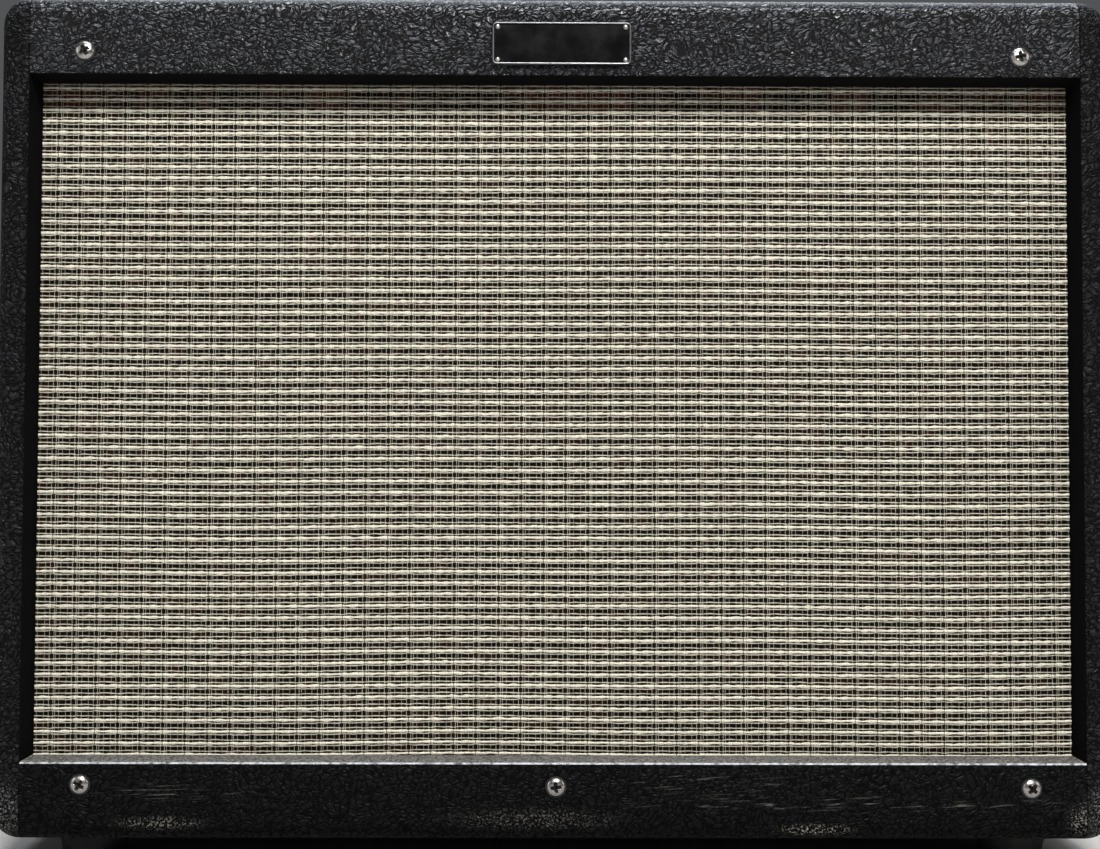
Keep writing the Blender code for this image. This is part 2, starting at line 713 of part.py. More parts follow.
def handle_strap():
    """The strap: a bar that arches, widens and thickens towards its middle."""
    bm = bmesh.new()
    half = HANDLE_LENGTH / 2
    add_box(bm, (-half, -0.5, 0.0), (half, 0.5, 1.0))
    for station in range(1, STRAP_STATIONS):
        cut = -half + HANDLE_LENGTH * station / STRAP_STATIONS
        everything = list(bm.verts) + list(bm.edges) + list(bm.faces)
        bmesh.ops.bisect_plane(bm, geom=everything, plane_co=(cut, 0, 0), plane_no=(1, 0, 0))
    for vertex in bm.verts:
        share = strap_share(vertex.co.x)
        width = STRAP_END_WIDTH + (STRAP_WIDTH - STRAP_END_WIDTH) * min(1.0, 3.0 * share)
        thickness = STRAP_END_THICKNESS + (STRAP_THICKNESS - STRAP_END_THICKNESS) * share
        vertex.co.y *= width
        vertex.co.z = STRAP_RISE * share + thickness * vertex.co.z

    def long_edge(edge):
        first, second = edge.verts
        along = abs(first.co.x - second.co.x) > MERGE
        return along and len({face for face in edge.link_faces}) == 2

    round_edges(bm, long_edge, STRAP_EDGE, 2)
    place = (0.0, HANDLE_Y, TOP + GAP)
    shade(add_part("handle_strap", mesh_from(bm, "handle_strap"), PLASTIC, place), 40.0)


def handle_cap(name, side):
    """An end cap: a hood open below and towards the strap, with room for the strap's tongue to lift."""
    room = STRAP_END_THICKNESS + HANDLE_LIFT + TONGUE_ROOM
    height = room + CAP_WALL
    outer_end = HANDLE_LENGTH / 2 + CAP_WALL + TONGUE_ROOM
    bm = bmesh.new()
    add_box(bm, (-CAP_LENGTH / 2, -CAP_WIDTH / 2, 0.0), (CAP_LENGTH / 2, CAP_WIDTH / 2, height))

    def top_or_corner(edge):
        upright = abs(edge.verts[0].co.z - edge.verts[1].co.z) > MERGE
        outside = all(vertex.co.x * side > 0 for vertex in edge.verts)
        return on_plane(edge, 2, height) or (upright and outside)

    round_edges(bm, top_or_corner, CAP_ROUNDING)
    place = (side * (outer_end - CAP_LENGTH / 2), HANDLE_Y, TOP + GAP)
    cap = shade(add_part(name, mesh_from(bm, name), CHROME, place), 40.0)
    reach = CAP_LENGTH
    inner = side * (CAP_LENGTH / 2 - CAP_WALL)
    mouth = -side * reach
    half = STRAP_END_WIDTH / 2 + TONGUE_ROOM / 2
    low = (min(inner, mouth), -half, -CAP_WALL)
    high = (max(inner, mouth), half, room)
    cutter = add_cutter(name + "_room", box_mesh(name + "_room", low, high), place)
    return boolean(cap, cutter, "DIFFERENCE")


def control_holes(low, high):
    """Cutting cylinders for the controls' holes through the control panel."""
    bm = bmesh.new()
    row = [(x, CONTROL_Y, BUSHING_RADIUS) for x in KNOB_PLACES]
    row += [(PLACES[key], CONTROL_Y, JACK_SLEEVE_RADIUS) for key in EFFECT_NAMES + INPUT_NAMES]
    row += [(x, y, BUTTON_RADIUS) for _, x, y in BUTTONS]
    row.append((PLACES["lamp"], CONTROL_Y, LAMP_BODY_RADIUS))
    for x, y, radius in row:
        add_cylinder(bm, hole_radius(radius), (x, y, low), (x, y, high))
    return bm


def sheet_steel(part, thickness):
    """Gives a surface the thickness of its sheet, inwards."""
    sheet = part.modifiers.new("sheet", "SOLIDIFY")
    sheet.thickness = thickness
    sheet.offset = -1.0
    sheet.use_even_offset = True
    return part


def chassis():
    """The folded steel chassis: a trough open above and behind, with lips along both openings."""
    bm = bmesh.new()
    add_box(bm, (-CHASSIS_END, CHASSIS_FRONT, CHASSIS_FLOOR), (CHASSIS_END, CHASSIS_REAR, CHASSIS_TOP))
    bm.faces.ensure_lookup_table()
    rear = max(bm.faces, key=lambda item: item.calc_center_median().y)
    top = max(bm.faces, key=lambda item: item.calc_center_median().z)
    bmesh.ops.inset_individual(bm, faces=[rear, top], thickness=CHASSIS_LIP)
    shared = [edge for edge in bm.edges if on_plane(edge, 1, CHASSIS_REAR) and on_plane(edge, 2, CHASSIS_TOP)]
    opened = {rear, top}
    for edge in shared:
        opened.update(edge.link_faces)
    bmesh.ops.delete(bm, geom=list(opened), context="FACES")
    tray = shade(add_part("chassis", mesh_from(bm, "chassis"), STEEL))
    sheet_steel(tray, CHASSIS_STEEL)

    low = CHASSIS_FLOOR - CHASSIS_STEEL
    high = CHASSIS_FLOOR + 2 * CHASSIS_STEEL
    floor = bmesh.new()
    half_x = INLET_WIDTH / 2 + GAP
    half_y = INLET_LENGTH / 2 + GAP
    add_box(floor, (INLET_X - half_x, INLET_Y - half_y, low), (INLET_X + half_x, INLET_Y + half_y, high))
    add_cylinder(floor, hole_radius(FUSE_BODY_RADIUS), (INLET_X, FUSE_Y, low), (INLET_X, FUSE_Y, high))
    for x in SPEAKER_JACKS_X:
        radius = hole_radius(JACK_SLEEVE_RADIUS)
        add_cylinder(floor, radius, (x, SPEAKER_JACK_Y, low), (x, SPEAKER_JACK_Y, high))
    name = "chassis_floor_holes"
    boolean(tray, add_cutter(name, mesh_from(floor, name)), "DIFFERENCE")


def control_panel():
    """The plated panel over the chassis, with the bodies and bushings of both toggle switches fixed to it."""
    low = (-CHASSIS_END, CHASSIS_FRONT, PANEL_UNDERSIDE)
    high = (CHASSIS_END, CHASSIS_REAR, PANEL_TOP)
    panel = shade(add_part("control_panel", box_mesh("control_panel", low, high), CHROME))
    holes = control_holes(PANEL_UNDERSIDE - PANEL_STEEL, PANEL_TOP + PANEL_STEEL)
    boolean(panel, add_cutter("panel_holes", mesh_from(holes, "panel_holes")), "DIFFERENCE")

    width, depth, height = TOGGLE_BODY
    rise = PANEL_TOP + TOGGLE_BUSHING_RISE
    for key in SWITCH_NAMES:
        x = PLACES[key]
        bm = bmesh.new()
        add_cylinder(bm, TOGGLE_BUSHING_RADIUS, (0, 0, UNDER_PANEL - height / 2), (0, 0, rise))
        bushing = add_cutter(key + "_bushing", mesh_from(bm, key + "_bushing"), (x, CONTROL_Y, 0.0))
        boolean(panel, bushing, "UNION")
        low = (x - width / 2, CONTROL_Y - depth / 2, UNDER_PANEL - height)
        high = (x + width / 2, CONTROL_Y + depth / 2, UNDER_PANEL)
        body = add_cutter(key + "_body", box_mesh(key + "_body", low, high))
        boolean(panel, body, "UNION")
        bm = bmesh.new()
        seat = rise - TOGGLE_BALL_DEPTH - TOGGLE_BALL_RADIUS - GAP
        add_cylinder(bm, TOGGLE_BORE_RADIUS, (0, 0, seat), (0, 0, rise + TOGGLE_BORE_RADIUS))
        bore = add_cutter(key + "_bore", mesh_from(bm, key + "_bore"), (x, CONTROL_Y, 0.0))
        boolean(panel, bore, "DIFFERENCE")


def control_board():
    """The printed board with eight potentiometers, whose bushings pass the panel, and three switches."""
    left = PLACES["bright"] - BOARD_MARGIN / 2
    right = PLACES["presence"] + BOARD_MARGIN
    low = (left, CONTROL_Y - BOARD_DEPTH / 2, BOARD_TOP - BOARD_SHEET)
    high = (right, CONTROL_Y + BOARD_DEPTH / 2, BOARD_TOP)
    board = shade(add_part("control_board", box_mesh("control_board", low, high), CIRCUIT))
    base = BOARD_TOP - BOARD_SHEET / 2
    bushing_top = PANEL_TOP + BUSHING_RISE
    for name, x in zip(KNOB_NAMES, KNOB_PLACES):
        bore = SHAFT_RADIUS + SHAFT_CLEARANCE
        bore_floor = bushing_top - SHAFT_LENGTH - SHAFT_CLEARANCE
        profile = [
            (0.0, bore_floor),
            (bore, bore_floor),
            (bore, bushing_top),
            (BUSHING_RADIUS, bushing_top),
            (BUSHING_RADIUS, UNDER_PANEL),
            (POT_RADIUS, UNDER_PANEL),
            (POT_RADIUS, base),
            (0.0, base),
        ]
        pot = turned(name + "_pot", profile, HOLE_FACETS, STEEL, (x, CONTROL_Y, 0.0), cutter=True)
        boolean(board, pot, "UNION")
    half = BUTTON_SWITCH_WIDTH / 2
    for name, x, y in BUTTONS:
        top = UNDER_PANEL - BUTTON_TRAVEL - GAP
        mesh = box_mesh(name + "_switch", (x - half, y - half, base), (x + half, y + half, top))
        boolean(board, add_cutter(name + "_switch", mesh), "UNION")


def jack_set(name, places, y, mouth, direction, bridge):
    """Jack sockets on one small board; direction is +1 with their mouths up and -1 with them down."""
    body_face = UNDER_PANEL if direction > 0 else CHASSIS_FLOOR + CHASSIS_STEEL + GAP
    far = body_face - direction * JACK_BODY_DEPTH
    half = JACK_BODY / 2
    bm = bmesh.new()
    sheet_near = far + direction * bridge
    ends = (min(places) - half, max(places) + half)
    low = (ends[0], y - half, min(far, sheet_near))
    high = (ends[1], y + half, max(far, sheet_near))
    add_box(bm, low, high)
    board = shade(add_part(name, mesh_from(bm, name), PLASTIC))
    for index, x in enumerate(places):
        inset = bridge / 2
        z_ends = sorted((body_face, far + direction * inset))
        low = (x - half, y - half + inset, z_ends[0])
        high = (x + half, y + half - inset, z_ends[1])
        body = box_mesh(name + "_body", low, high)
        boolean(board, add_cutter(f"{name}_body_{index}", body), "UNION")
        bm = bmesh.new()
        z_ends = sorted((mouth, body_face - direction * half))
        add_cylinder(bm, JACK_SLEEVE_RADIUS, (x, y, z_ends[0]), (x, y, z_ends[1]))
        boolean(board, add_cutter(f"{name}_sleeve_{index}", mesh_from(bm, name + "_sleeve")), "UNION")
        bm = bmesh.new()
        z_ends = sorted((mouth + direction * half, mouth - direction * JACK_BORE_DEPTH))
        add_cylinder(bm, JACK_BORE_RADIUS, (x, y, z_ends[0]), (x, y, z_ends[1]), SMALL_FACETS)
        boolean(board, add_cutter(f"{name}_bore_{index}", mesh_from(bm, name + "_bore")), "DIFFERENCE")


def jack_sets():
    """Inputs and effect sockets under the panel, and the speaker sockets in the chassis floor."""
    up = PANEL_TOP + JACK_RISE
    down = CHASSIS_FLOOR - JACK_RISE
    jack_set("input_jacks", [PLACES[key] for key in INPUT_NAMES], CONTROL_Y, up, 1, BOARD_SHEET)
    jack_set("effects_jacks", [PLACES[key] for key in EFFECT_NAMES], CONTROL_Y, up, 1, BOARD_SHEET)
    jack_set("speaker_jacks", SPEAKER_JACKS_X, SPEAKER_JACK_Y, down, -1, BOARD_SHEET)


def knob_mesh():
    """A pointer knob on its shaft: round skirt, tapered bar with a long beak and a round tail."""
    base = turned(
        "knob_skirt",
        [
            (0.0, KNOB_SKIRT_TOP),
            (KNOB_SHOULDER, KNOB_SKIRT_TOP),
            (KNOB_RADIUS - KNOB_SKIRT_EDGE, KNOB_SKIRT),
            (KNOB_RADIUS, 0.0),
            (SHAFT_RADIUS, 0.0),
            (SHAFT_RADIUS, -SHAFT_LENGTH),
            (0.0, -SHAFT_LENGTH),
        ],
        ROUND_FACETS,
        KNOB,
        cutter=True,
    )
    half = KNOB_BAR_WIDTH / 2
    tail = arc_points((0.0, -KNOB_TAIL + half), half, 0.0, -180.0, ARC_STEPS)
    tip = KNOB_TIP_WIDTH / 2
    beak = [(-half, half / 2), (-tip, KNOB_TIP), (tip, KNOB_TIP), (half, half / 2)]
    bm = bmesh.new()
    top = outline_prism(bm, tail + beak, KNOB_BAR_FOOT, KNOB_HEIGHT)
    for vertex in top:
        vertex.co.x *= KNOB_DRAFT
        vertex.co.y *= KNOB_DRAFT
    round_edges(bm, lambda edge: on_plane(edge, 2, KNOB_HEIGHT), KNOB_EDGE, 1)
    bar = add_cutter("knob_bar", mesh_from(bm, "knob_bar"))
    boolean(base, bar, "UNION")
    mesh = applied(base, "knob")
    mesh.materials.clear()
    mesh.materials.append(KNOB)
    bpy.data.objects.remove(bar, do_unlink=True)
    return mesh


def knobs():
    """Eight knobs, each turned to its setting; zero points towards the front left of its dial."""
    mesh = knob_mesh()
    for name, x, setting in zip(KNOB_NAMES, KNOB_PLACES, KNOB_SETTINGS):
        clockwise = DIAL_SWEEP * (setting / DIAL_STEPS - 0.5)
        place = (x, CONTROL_Y, PANEL_TOP + BUSHING_RISE + GAP)
        turn = (0.0, 0.0, math.radians(180.0 - clockwise))
        shade(add_part("knob_" + name, mesh, KNOB, place, turn))


def push_buttons():
    """Three round push buttons, each in its hole of the panel."""
    foot_z = UNDER_PANEL - PANEL_TOP
    profile = [
        (0.0, BUTTON_RISE),
        (BUTTON_RADIUS - BUTTON_EDGE, BUTTON_RISE),
        (BUTTON_RADIUS, BUTTON_RISE - BUTTON_EDGE),
        (BUTTON_RADIUS, foot_z),
        (0.0, foot_z),
    ]
    for name, x, y in BUTTONS:
        shade(turned("button_" + name, profile, HOLE_FACETS, KNOB, (x, y, PANEL_TOP)))


def toggle_levers():
    """Two bat levers, each on a ball in its bushing, tipped to their rest side."""
    ball = arc_points((0.0, 0.0), TOGGLE_BALL_RADIUS, TOGGLE_BALL_TOP, -90.0, ARC_STEPS)
    profile = [
        (0.0, TOGGLE_LEVER_LENGTH),
        (TOGGLE_LEVER_HEAD - TOGGLE_HEAD_EDGE / 2, TOGGLE_LEVER_LENGTH),
        (TOGGLE_LEVER_HEAD, TOGGLE_LEVER_LENGTH - TOGGLE_HEAD_EDGE),
        (TOGGLE_LEVER_NECK, TOGGLE_NECK_START),
    ] + ball[:-1] + [(0.0, -TOGGLE_BALL_RADIUS)]
    pivot = PANEL_TOP + TOGGLE_BUSHING_RISE - TOGGLE_BALL_DEPTH
    for name in SWITCH_NAMES:
        tilt = (math.radians(-TOGGLE_TILT), 0.0, 0.0)
        place = (PLACES[name], CONTROL_Y, pivot)
        shade(turned("switch_" + name, profile, HOLE_FACETS, CHROME, place, tilt))


def pilot_lamp():
    """The lamp holder with its bezel and domed jewel."""
    profile = [
        (0.0, LAMP_JEWEL_RISE),
        LAMP_JEWEL_CROWN,
        LAMP_JEWEL_SHOULDER,
        (LAMP_JEWEL_RADIUS, LAMP_BEZEL_RISE),
        (LAMP_BEZEL_RADIUS - LAMP_BEZEL_EDGE, LAMP_BEZEL_RISE),
        (LAMP_BEZEL_RADIUS, LAMP_BEZEL_RISE - LAMP_BEZEL_EDGE),
        (LAMP_BEZEL_RADIUS, GAP),
        (LAMP_BODY_RADIUS, GAP),
        (LAMP_BODY_RADIUS, -LAMP_BODY_LENGTH),
        (0.0, -LAMP_BODY_LENGTH),
    ]
    shade(turned("pilot_lamp", profile, SMALL_FACETS, JEWEL, (PLACES["lamp"], CONTROL_Y, PANEL_TOP)))


def mains_inlet():
    """The mains inlet in the chassis floor: flange, body and the hollow that takes a connector."""
    bm = bmesh.new()
    half_x = INLET_WIDTH / 2
    half_y = INLET_LENGTH / 2
    flange_top = -GAP
    flange_low = flange_top - INLET_FLANGE_THICKNESS
    add_box(
        bm,
        (-half_x - INLET_FLANGE, -half_y - INLET_FLANGE, flange_low),
        (half_x + INLET_FLANGE, half_y + INLET_FLANGE, flange_top),
    )
    place = (INLET_X, INLET_Y, CHASSIS_FLOOR)
    inlet = shade(add_part("mains_inlet", mesh_from(bm, "mains_inlet"), PLASTIC, place))
    low = (-half_x, -half_y, flange_low + INLET_FLANGE_THICKNESS / 2)
    high = (half_x, half_y, INLET_DEPTH)
    boolean(inlet, add_cutter("inlet_body", box_mesh("inlet_body", low, high), place), "UNION")
    cavity = bmesh.new()
    half_x = INLET_CAVITY_WIDTH / 2
    half_y = INLET_CAVITY_LENGTH / 2
    ceiling = flange_low + INLET_CAVITY_DEPTH
    add_box(cavity, (-half_x, -half_y, flange_low - INLET_FLANGE), (half_x, half_y, ceiling))

    def keyed_corner(edge):
        upright = abs(edge.verts[0].co.z - edge.verts[1].co.z) > MERGE
        return upright and on_plane(edge, 0, -half_x)

    round_edges(cavity, keyed_corner, INLET_CAVITY_WIDTH / 4, 1)
    boolean(inlet, add_cutter("inlet_cavity", mesh_from(cavity, "inlet_cavity"), place), "DIFFERENCE")


def fuse_holder():
    """The fuse holder with its round cap below the chassis floor."""
    profile = [
        (0.0, FUSE_BODY_LENGTH),
        (FUSE_BODY_RADIUS, FUSE_BODY_LENGTH),
        (FUSE_BODY_RADIUS, -GAP),
        (FUSE_FLANGE_RADIUS, -GAP),
        (FUSE_FLANGE_RADIUS, -FUSE_FLANGE_THICKNESS),
        (FUSE_CAP_RADIUS, -FUSE_FLANGE_THICKNESS),
        (FUSE_CAP_RADIUS, -FUSE_CAP_LENGTH + FUSE_CAP_EDGE),
        (FUSE_CAP_RADIUS - FUSE_CAP_EDGE, -FUSE_CAP_LENGTH),
        (0.0, -FUSE_CAP_LENGTH),
    ]
    shade(turned("fuse_holder", profile, SMALL_FACETS, PLASTIC, (INLET_X, FUSE_Y, CHASSIS_FLOOR)))


def hanging_place(share_place):
    """A place under the chassis floor."""
    share, from_rear = share_place
    return (share * CHASSIS_END, CHASSIS_REAR - from_rear, HANG_FROM)


def power_transformer():
    """A laminated core between two end bells, with four fixing feet against the chassis floor."""
    width, depth, height = POWER_CORE
    bm = bmesh.new()
    add_box(bm, (-width / 2, -depth / 2, -height), (width / 2, depth / 2, 0.0))
    place = hanging_place(POWER_TRANSFORMER_PLACE)
    core = shade(add_part("power_transformer", mesh_from(bm, "power_transformer"), IRON, place))
    inset = POWER_BELL / 2
    for side in (-1, 1):
        bell = bmesh.new()
        near = side * (depth / 2 - inset / 2)
        far = side * (depth / 2 + POWER_BELL)
        low = (-width / 2 + inset, min(near, far), -height + inset)
        high = (width / 2 - inset, max(near, far), -inset)
        add_box(bell, low, high)
        round_edges(bell, lambda edge: on_plane(edge, 1, far), POWER_BELL_EDGE)
        name = "power_bell_front" if side < 0 else "power_bell_back"
        boolean(core, add_cutter(name, mesh_from(bell, name), place), "UNION")
        foot_low = (-width / 2, min(side * depth / 4, far), -STRAP_STEEL)
        foot_high = (width / 2, max(side * depth / 4, far), 0.0)
        name = "power_foot_front" if side < 0 else "power_foot_back"
        boolean(core, add_cutter(name, box_mesh(name, foot_low, foot_high), place), "UNION")


def open_transformer(name, share_place, core_size, coil_depth):
    """A laminated core with its coil on both sides, held by a steel strap with two feet."""
    width, depth, height = core_size
    place = hanging_place(share_place)
    low = (-width / 2, -depth / 2, -height)
    high = (width / 2, depth / 2, -STRAP_STEEL / 2)
    core = shade(add_part(name, box_mesh(name, low, high), IRON, place))
    coil = bmesh.new()
    half_x = width / 4 + coil_depth / 3
    half_y = depth / 2 + coil_depth
    side_room = height / 6
    add_box(coil, (-half_x, -half_y, -height + side_room), (half_x, half_y, -side_room))

    def upright_edge(edge):
        return abs(edge.verts[0].co.z - edge.verts[1].co.z) > MERGE

    round_edges(coil, upright_edge, coil_depth * COIL_ROUNDING)
    boolean(core, add_cutter(name + "_coil", mesh_from(coil, name + "_coil"), place), "UNION")
    strap = bmesh.new()
    reach = width / 2 + STRAP_FOOT
    half_y = depth * STRAP_SHARE / 2
    add_box(strap, (-reach, -half_y, -STRAP_STEEL), (reach, half_y, 0.0))
    boolean(core, add_cutter(name + "_feet", mesh_from(strap, name + "_feet"), place), "UNION")
    band = bmesh.new()
    half_x = width / 2 + STRAP_STEEL
    add_box(band, (-half_x, -half_y, -height - STRAP_STEEL), (half_x, half_y, -STRAP_STEEL / 2))
    boolean(core, add_cutter(name + "_band", mesh_from(band, name + "_band"), place), "UNION")


def power_valves():
    """Two power valves hanging from their sockets."""
    base = POWER_BASE_RADIUS
    glass = POWER_GLASS_RADIUS
    low = POWER_BASE_HEIGHT
    high = POWER_BASE_HEIGHT + POWER_GLASS_HEIGHT
    dome = arc_points((0.0, high - glass), glass, 90.0, 0.0, POWER_DOME_STEPS)
    envelope = dome + [(glass, low + POWER_GLASS_SHOULDER), (POWER_GLASS_FOOT_RADIUS, low)]
    profile = envelope + [(base, low), (base, 0.0), (0.0, 0.0)]
    socket = [
        (0.0, POWER_SOCKET_HEIGHT),
        (POWER_SOCKET_BODY_RADIUS, POWER_SOCKET_HEIGHT),
        (POWER_SOCKET_BODY_RADIUS, POWER_SOCKET_FLANGE),
        (POWER_SOCKET_RADIUS, POWER_SOCKET_FLANGE),
        (POWER_SOCKET_RADIUS, 0.0),
        (0.0, 0.0),
    ]
    for side, share_place in zip(("right", "left"), POWER_TUBE_PLACES):
        x, y, z = hanging_place(share_place)
        shade(turned("power_socket_" + side, socket, ROUND_FACETS, PLASTIC, (x, y, z), HANGING))
        place = (x, y, z - POWER_SOCKET_HEIGHT - GAP)
        shade(turned("power_tube_" + side, profile, ROUND_FACETS, GLASS, place, HANGING))


def preamp_valves():
    """Three preamp valves, each in a can shield that leaves its tip in view."""
    glass = [(0.0, PREAMP_HEIGHT)]
    glass += [(radius, PREAMP_HEIGHT - below) for radius, below in PREAMP_TIP]
    glass += [(PREAMP_RADIUS, PREAMP_HEIGHT - PREAMP_SHOULDER), (PREAMP_RADIUS, 0.0), (0.0, 0.0)]
    inner = SHIELD_RADIUS - SHIELD_WALL
    skirt_inner = SHIELD_SKIRT_RADIUS - SHIELD_WALL
    can = [
        (SHIELD_RADIUS, SHIELD_HEIGHT),
        (SHIELD_RADIUS, SHIELD_SKIRT_HEIGHT),
        (SHIELD_SKIRT_RADIUS, SHIELD_SKIRT_HEIGHT - SHIELD_WALL),
        (SHIELD_SKIRT_RADIUS, 0.0),
        (skirt_inner, 0.0),
        (skirt_inner, SHIELD_SKIRT_HEIGHT - 2 * SHIELD_WALL),
        (inner, SHIELD_SKIRT_HEIGHT - SHIELD_WALL),
        (inner, SHIELD_HEIGHT),
    ]
    for number, share_place in enumerate(PREAMP_TUBE_PLACES, start=1):
        place = hanging_place(share_place)
        shade(turned(f"preamp_tube_{number}", glass, SMALL_FACETS, GLASS, place, HANGING))
        shade(turned(f"tube_shield_{number}", can, SMALL_FACETS, STEEL, place, HANGING, ring=True))


def speaker_gasket():
    """The cork ring between the baffle and the speaker's rim."""
    outer = SPEAKER_RADIUS - BASKET_STEEL
    inner = outer - GASKET_WIDTH
    front = GASKET_THICKNESS + GAP
    profile = [(outer, front), (outer, GAP), (inner, GAP), (inner, front)]
    shade(turned("speaker_gasket", profile, SPEAKER_FACETS, PLYWOOD, SPEAKER_AXIS, FACING_FRONT, ring=True))


def window_cutter():
    """The basket's windows: rounded sectors in a circle, pressed through along the axis."""
    half = math.radians(180.0 / WINDOW_COUNT - WINDOW_RIB_ANGLE / 2)
    bm = bmesh.new()
    back = -BASKET_SHELF_DEPTH - BASKET_STEEL
    for index in range(WINDOW_COUNT):
        middle = math.tau * (index + 0.5) / WINDOW_COUNT
        sector = []
        for radius, angles in ((WINDOW_OUTER, (-1, 0, 1)), (WINDOW_INNER, (1, -1))):
            for side in angles:
                angle = middle + side * half
                sector.append(Vector((radius * math.cos(angle), radius * math.sin(angle))))
        rounded = rounded_outline(sector, WINDOW_CORNER)
        outline_prism(bm, rounded, back, -BASKET_STEP - BASKET_STEEL)
    return add_cutter("basket_windows", mesh_from(bm, "basket_windows"), SPEAKER_AXIS, FACING_FRONT)


def rounded_outline(corners, radius):
    """An outline with each corner cut to a short chamfer, unless it is nearly straight."""
    points = []
    count = len(corners)
    for index, corner in enumerate(corners):
        before = corners[index - 1] - corner
        after = corners[(index + 1) % count] - corner
        if math.degrees(before.angle(after)) > STRAIGHT_ANGLE:
            points.append(tuple(corner))
            continue
        points.append(tuple(corner + before.normalized() * radius))
        points.append(tuple(corner + after.normalized() * radius))
    return points


def speaker_frame():
    """The pressed steel basket: rim, slope with windows, spider shelf and floor."""
    steel = BASKET_STEEL
    outside = [
        (SPEAKER_RADIUS, 0.0),
        (SPEAKER_RADIUS, -steel),
        (BASKET_SEAT_RADIUS + steel, -steel),
        (BASKET_SEAT_RADIUS, -BASKET_STEP),
        (BASKET_SHELF_OUTER + steel, -BASKET_SHELF_DEPTH),
        (BASKET_SHELF_INNER + steel, -BASKET_SHELF_DEPTH - steel),
        (BASKET_FLOOR_RADIUS + steel, -BASKET_DEPTH),
        (BASKET_HOLE_RADIUS, -BASKET_DEPTH),
    ]
    inside = [
        (BASKET_HOLE_RADIUS, -BASKET_DEPTH + steel),
        (BASKET_FLOOR_RADIUS, -BASKET_DEPTH + steel),
        (BASKET_SHELF_INNER, -BASKET_SHELF_DEPTH),
        (BASKET_SHELF_OUTER, -BASKET_SHELF_DEPTH + steel),
        (BASKET_SEAT_RADIUS - steel, -BASKET_STEP),
        (BASKET_SEAT_RADIUS, 0.0),
    ]
    frame = turned(
        "speaker_frame", outside + inside, SPEAKER_FACETS, BASKET, SPEAKER_AXIS, FACING_FRONT, ring=True
    )
    shade(boolean(frame, window_cutter(), "DIFFERENCE"))


def speaker_magnet():
    """Front plate, ferrite ring and back plate, with the pole and the voice coil's gap."""
    front = -BASKET_DEPTH - GAP
    ring_front = front - PLATE_THICKNESS
    ring_back = ring_front - MAGNET_THICKNESS
    back = ring_back - PLATE_THICKNESS
    cut = MAGNET_CHAMFER
    profile = [
        (0.0, front),
        (POLE_RADIUS, front),
        (POLE_RADIUS, front - POLE_GAP_DEPTH),
        (POLE_GAP_RADIUS, front - POLE_GAP_DEPTH),
        (POLE_GAP_RADIUS, front),
        (FRONT_PLATE_RADIUS, front),
        (FRONT_PLATE_RADIUS, ring_front),
        (MAGNET_RADIUS - cut, ring_front),
        (MAGNET_RADIUS, ring_front - cut),
        (MAGNET_RADIUS, ring_back + cut),
        (MAGNET_RADIUS - cut, ring_back),
        (BACK_PLATE_RADIUS, ring_back),
        (BACK_PLATE_RADIUS, back + cut),
        (BACK_PLATE_RADIUS - cut, back),
        (0.0, back),
    ]
    shade(turned("speaker_magnet", profile, SPEAKER_FACETS, FERRITE, SPEAKER_AXIS, FACING_FRONT))


def cone_depth(share):
    """Depth of the cone from its edge, 0, to its neck, 1: a slope that bulges forward."""
    straight = CONE_FRONT + (CONE_NECK_DEPTH - CONE_FRONT) * share
    return straight - CONE_BULGE * math.sin(math.pi * share)


def speaker_cone():
    """The paper cone and the voice coil's former, which runs in the magnet's gap."""
    outer = COIL_RADIUS + COIL_WALL
    front = []
    for index in range(CONE_STATIONS + 1):
        share = index / CONE_STATIONS
        radius = CONE_RADIUS + (outer - CONE_RADIUS) * share
        front.append((radius, -cone_depth(share)))
    back = [(radius, depth - CONE_PAPER) for radius, depth in front]
    neck = (COIL_RADIUS, front[-1][1])
    end = -COIL_DEPTH
    profile = back[:-1] + [(outer, back[-1][1]), (outer, end), (COIL_RADIUS, end), neck]
    profile += list(reversed(front[:-1]))
    cone = turned("speaker_cone", profile, SPEAKER_FACETS, PAPER, SPEAKER_AXIS, FACING_FRONT, ring=True)
    join_dust_cap(cone)
    shade(cone)


def join_dust_cap(cone):
    """The dome over the voice coil, glued to the cone all round."""
    share = (CONE_RADIUS - DUST_CAP_RADIUS) / (CONE_RADIUS - COIL_RADIUS - COIL_WALL)
    seat = -cone_depth(share) - CONE_PAPER / 2
    top = []
    for index in range(DUST_CAP_STATIONS + 1):
        along = index / DUST_CAP_STATIONS
        height = seat + CONE_PAPER + DUST_CAP_RISE * (1.0 - along * along)
        top.append((DUST_CAP_RADIUS * along, height))
    under = [(radius, height - CONE_PAPER) for radius, height in reversed(top)]
    cap = turned("dust_cap", top + under, SPEAKER_FACETS, PAPER, SPEAKER_AXIS, FACING_FRONT, cutter=True)
    boolean(cone, cap, "UNION")


def pleated_ring(name, outer, inner, land, level, pleats, material):
    """A flat land glued at its outer edge, then pleats towards the middle."""
    stations = 2 * pleats
    start = outer - land
    front = [(outer, level + PLEAT_SHEET), (start, level + PLEAT_SHEET)]
    for index in range(1, stations + 1):
        radius = start + (inner - start) * index / stations
        lift = PLEAT_HEIGHT if index % 2 else 0.0
        front.append((radius, level + PLEAT_SHEET + lift))
    back = [(radius, height - PLEAT_SHEET) for radius, height in front]
    profile = back + list(reversed(front))
    return shade(turned(name, profile, SPEAKER_FACETS, material, SPEAKER_AXIS, FACING_FRONT, ring=True), 60.0)


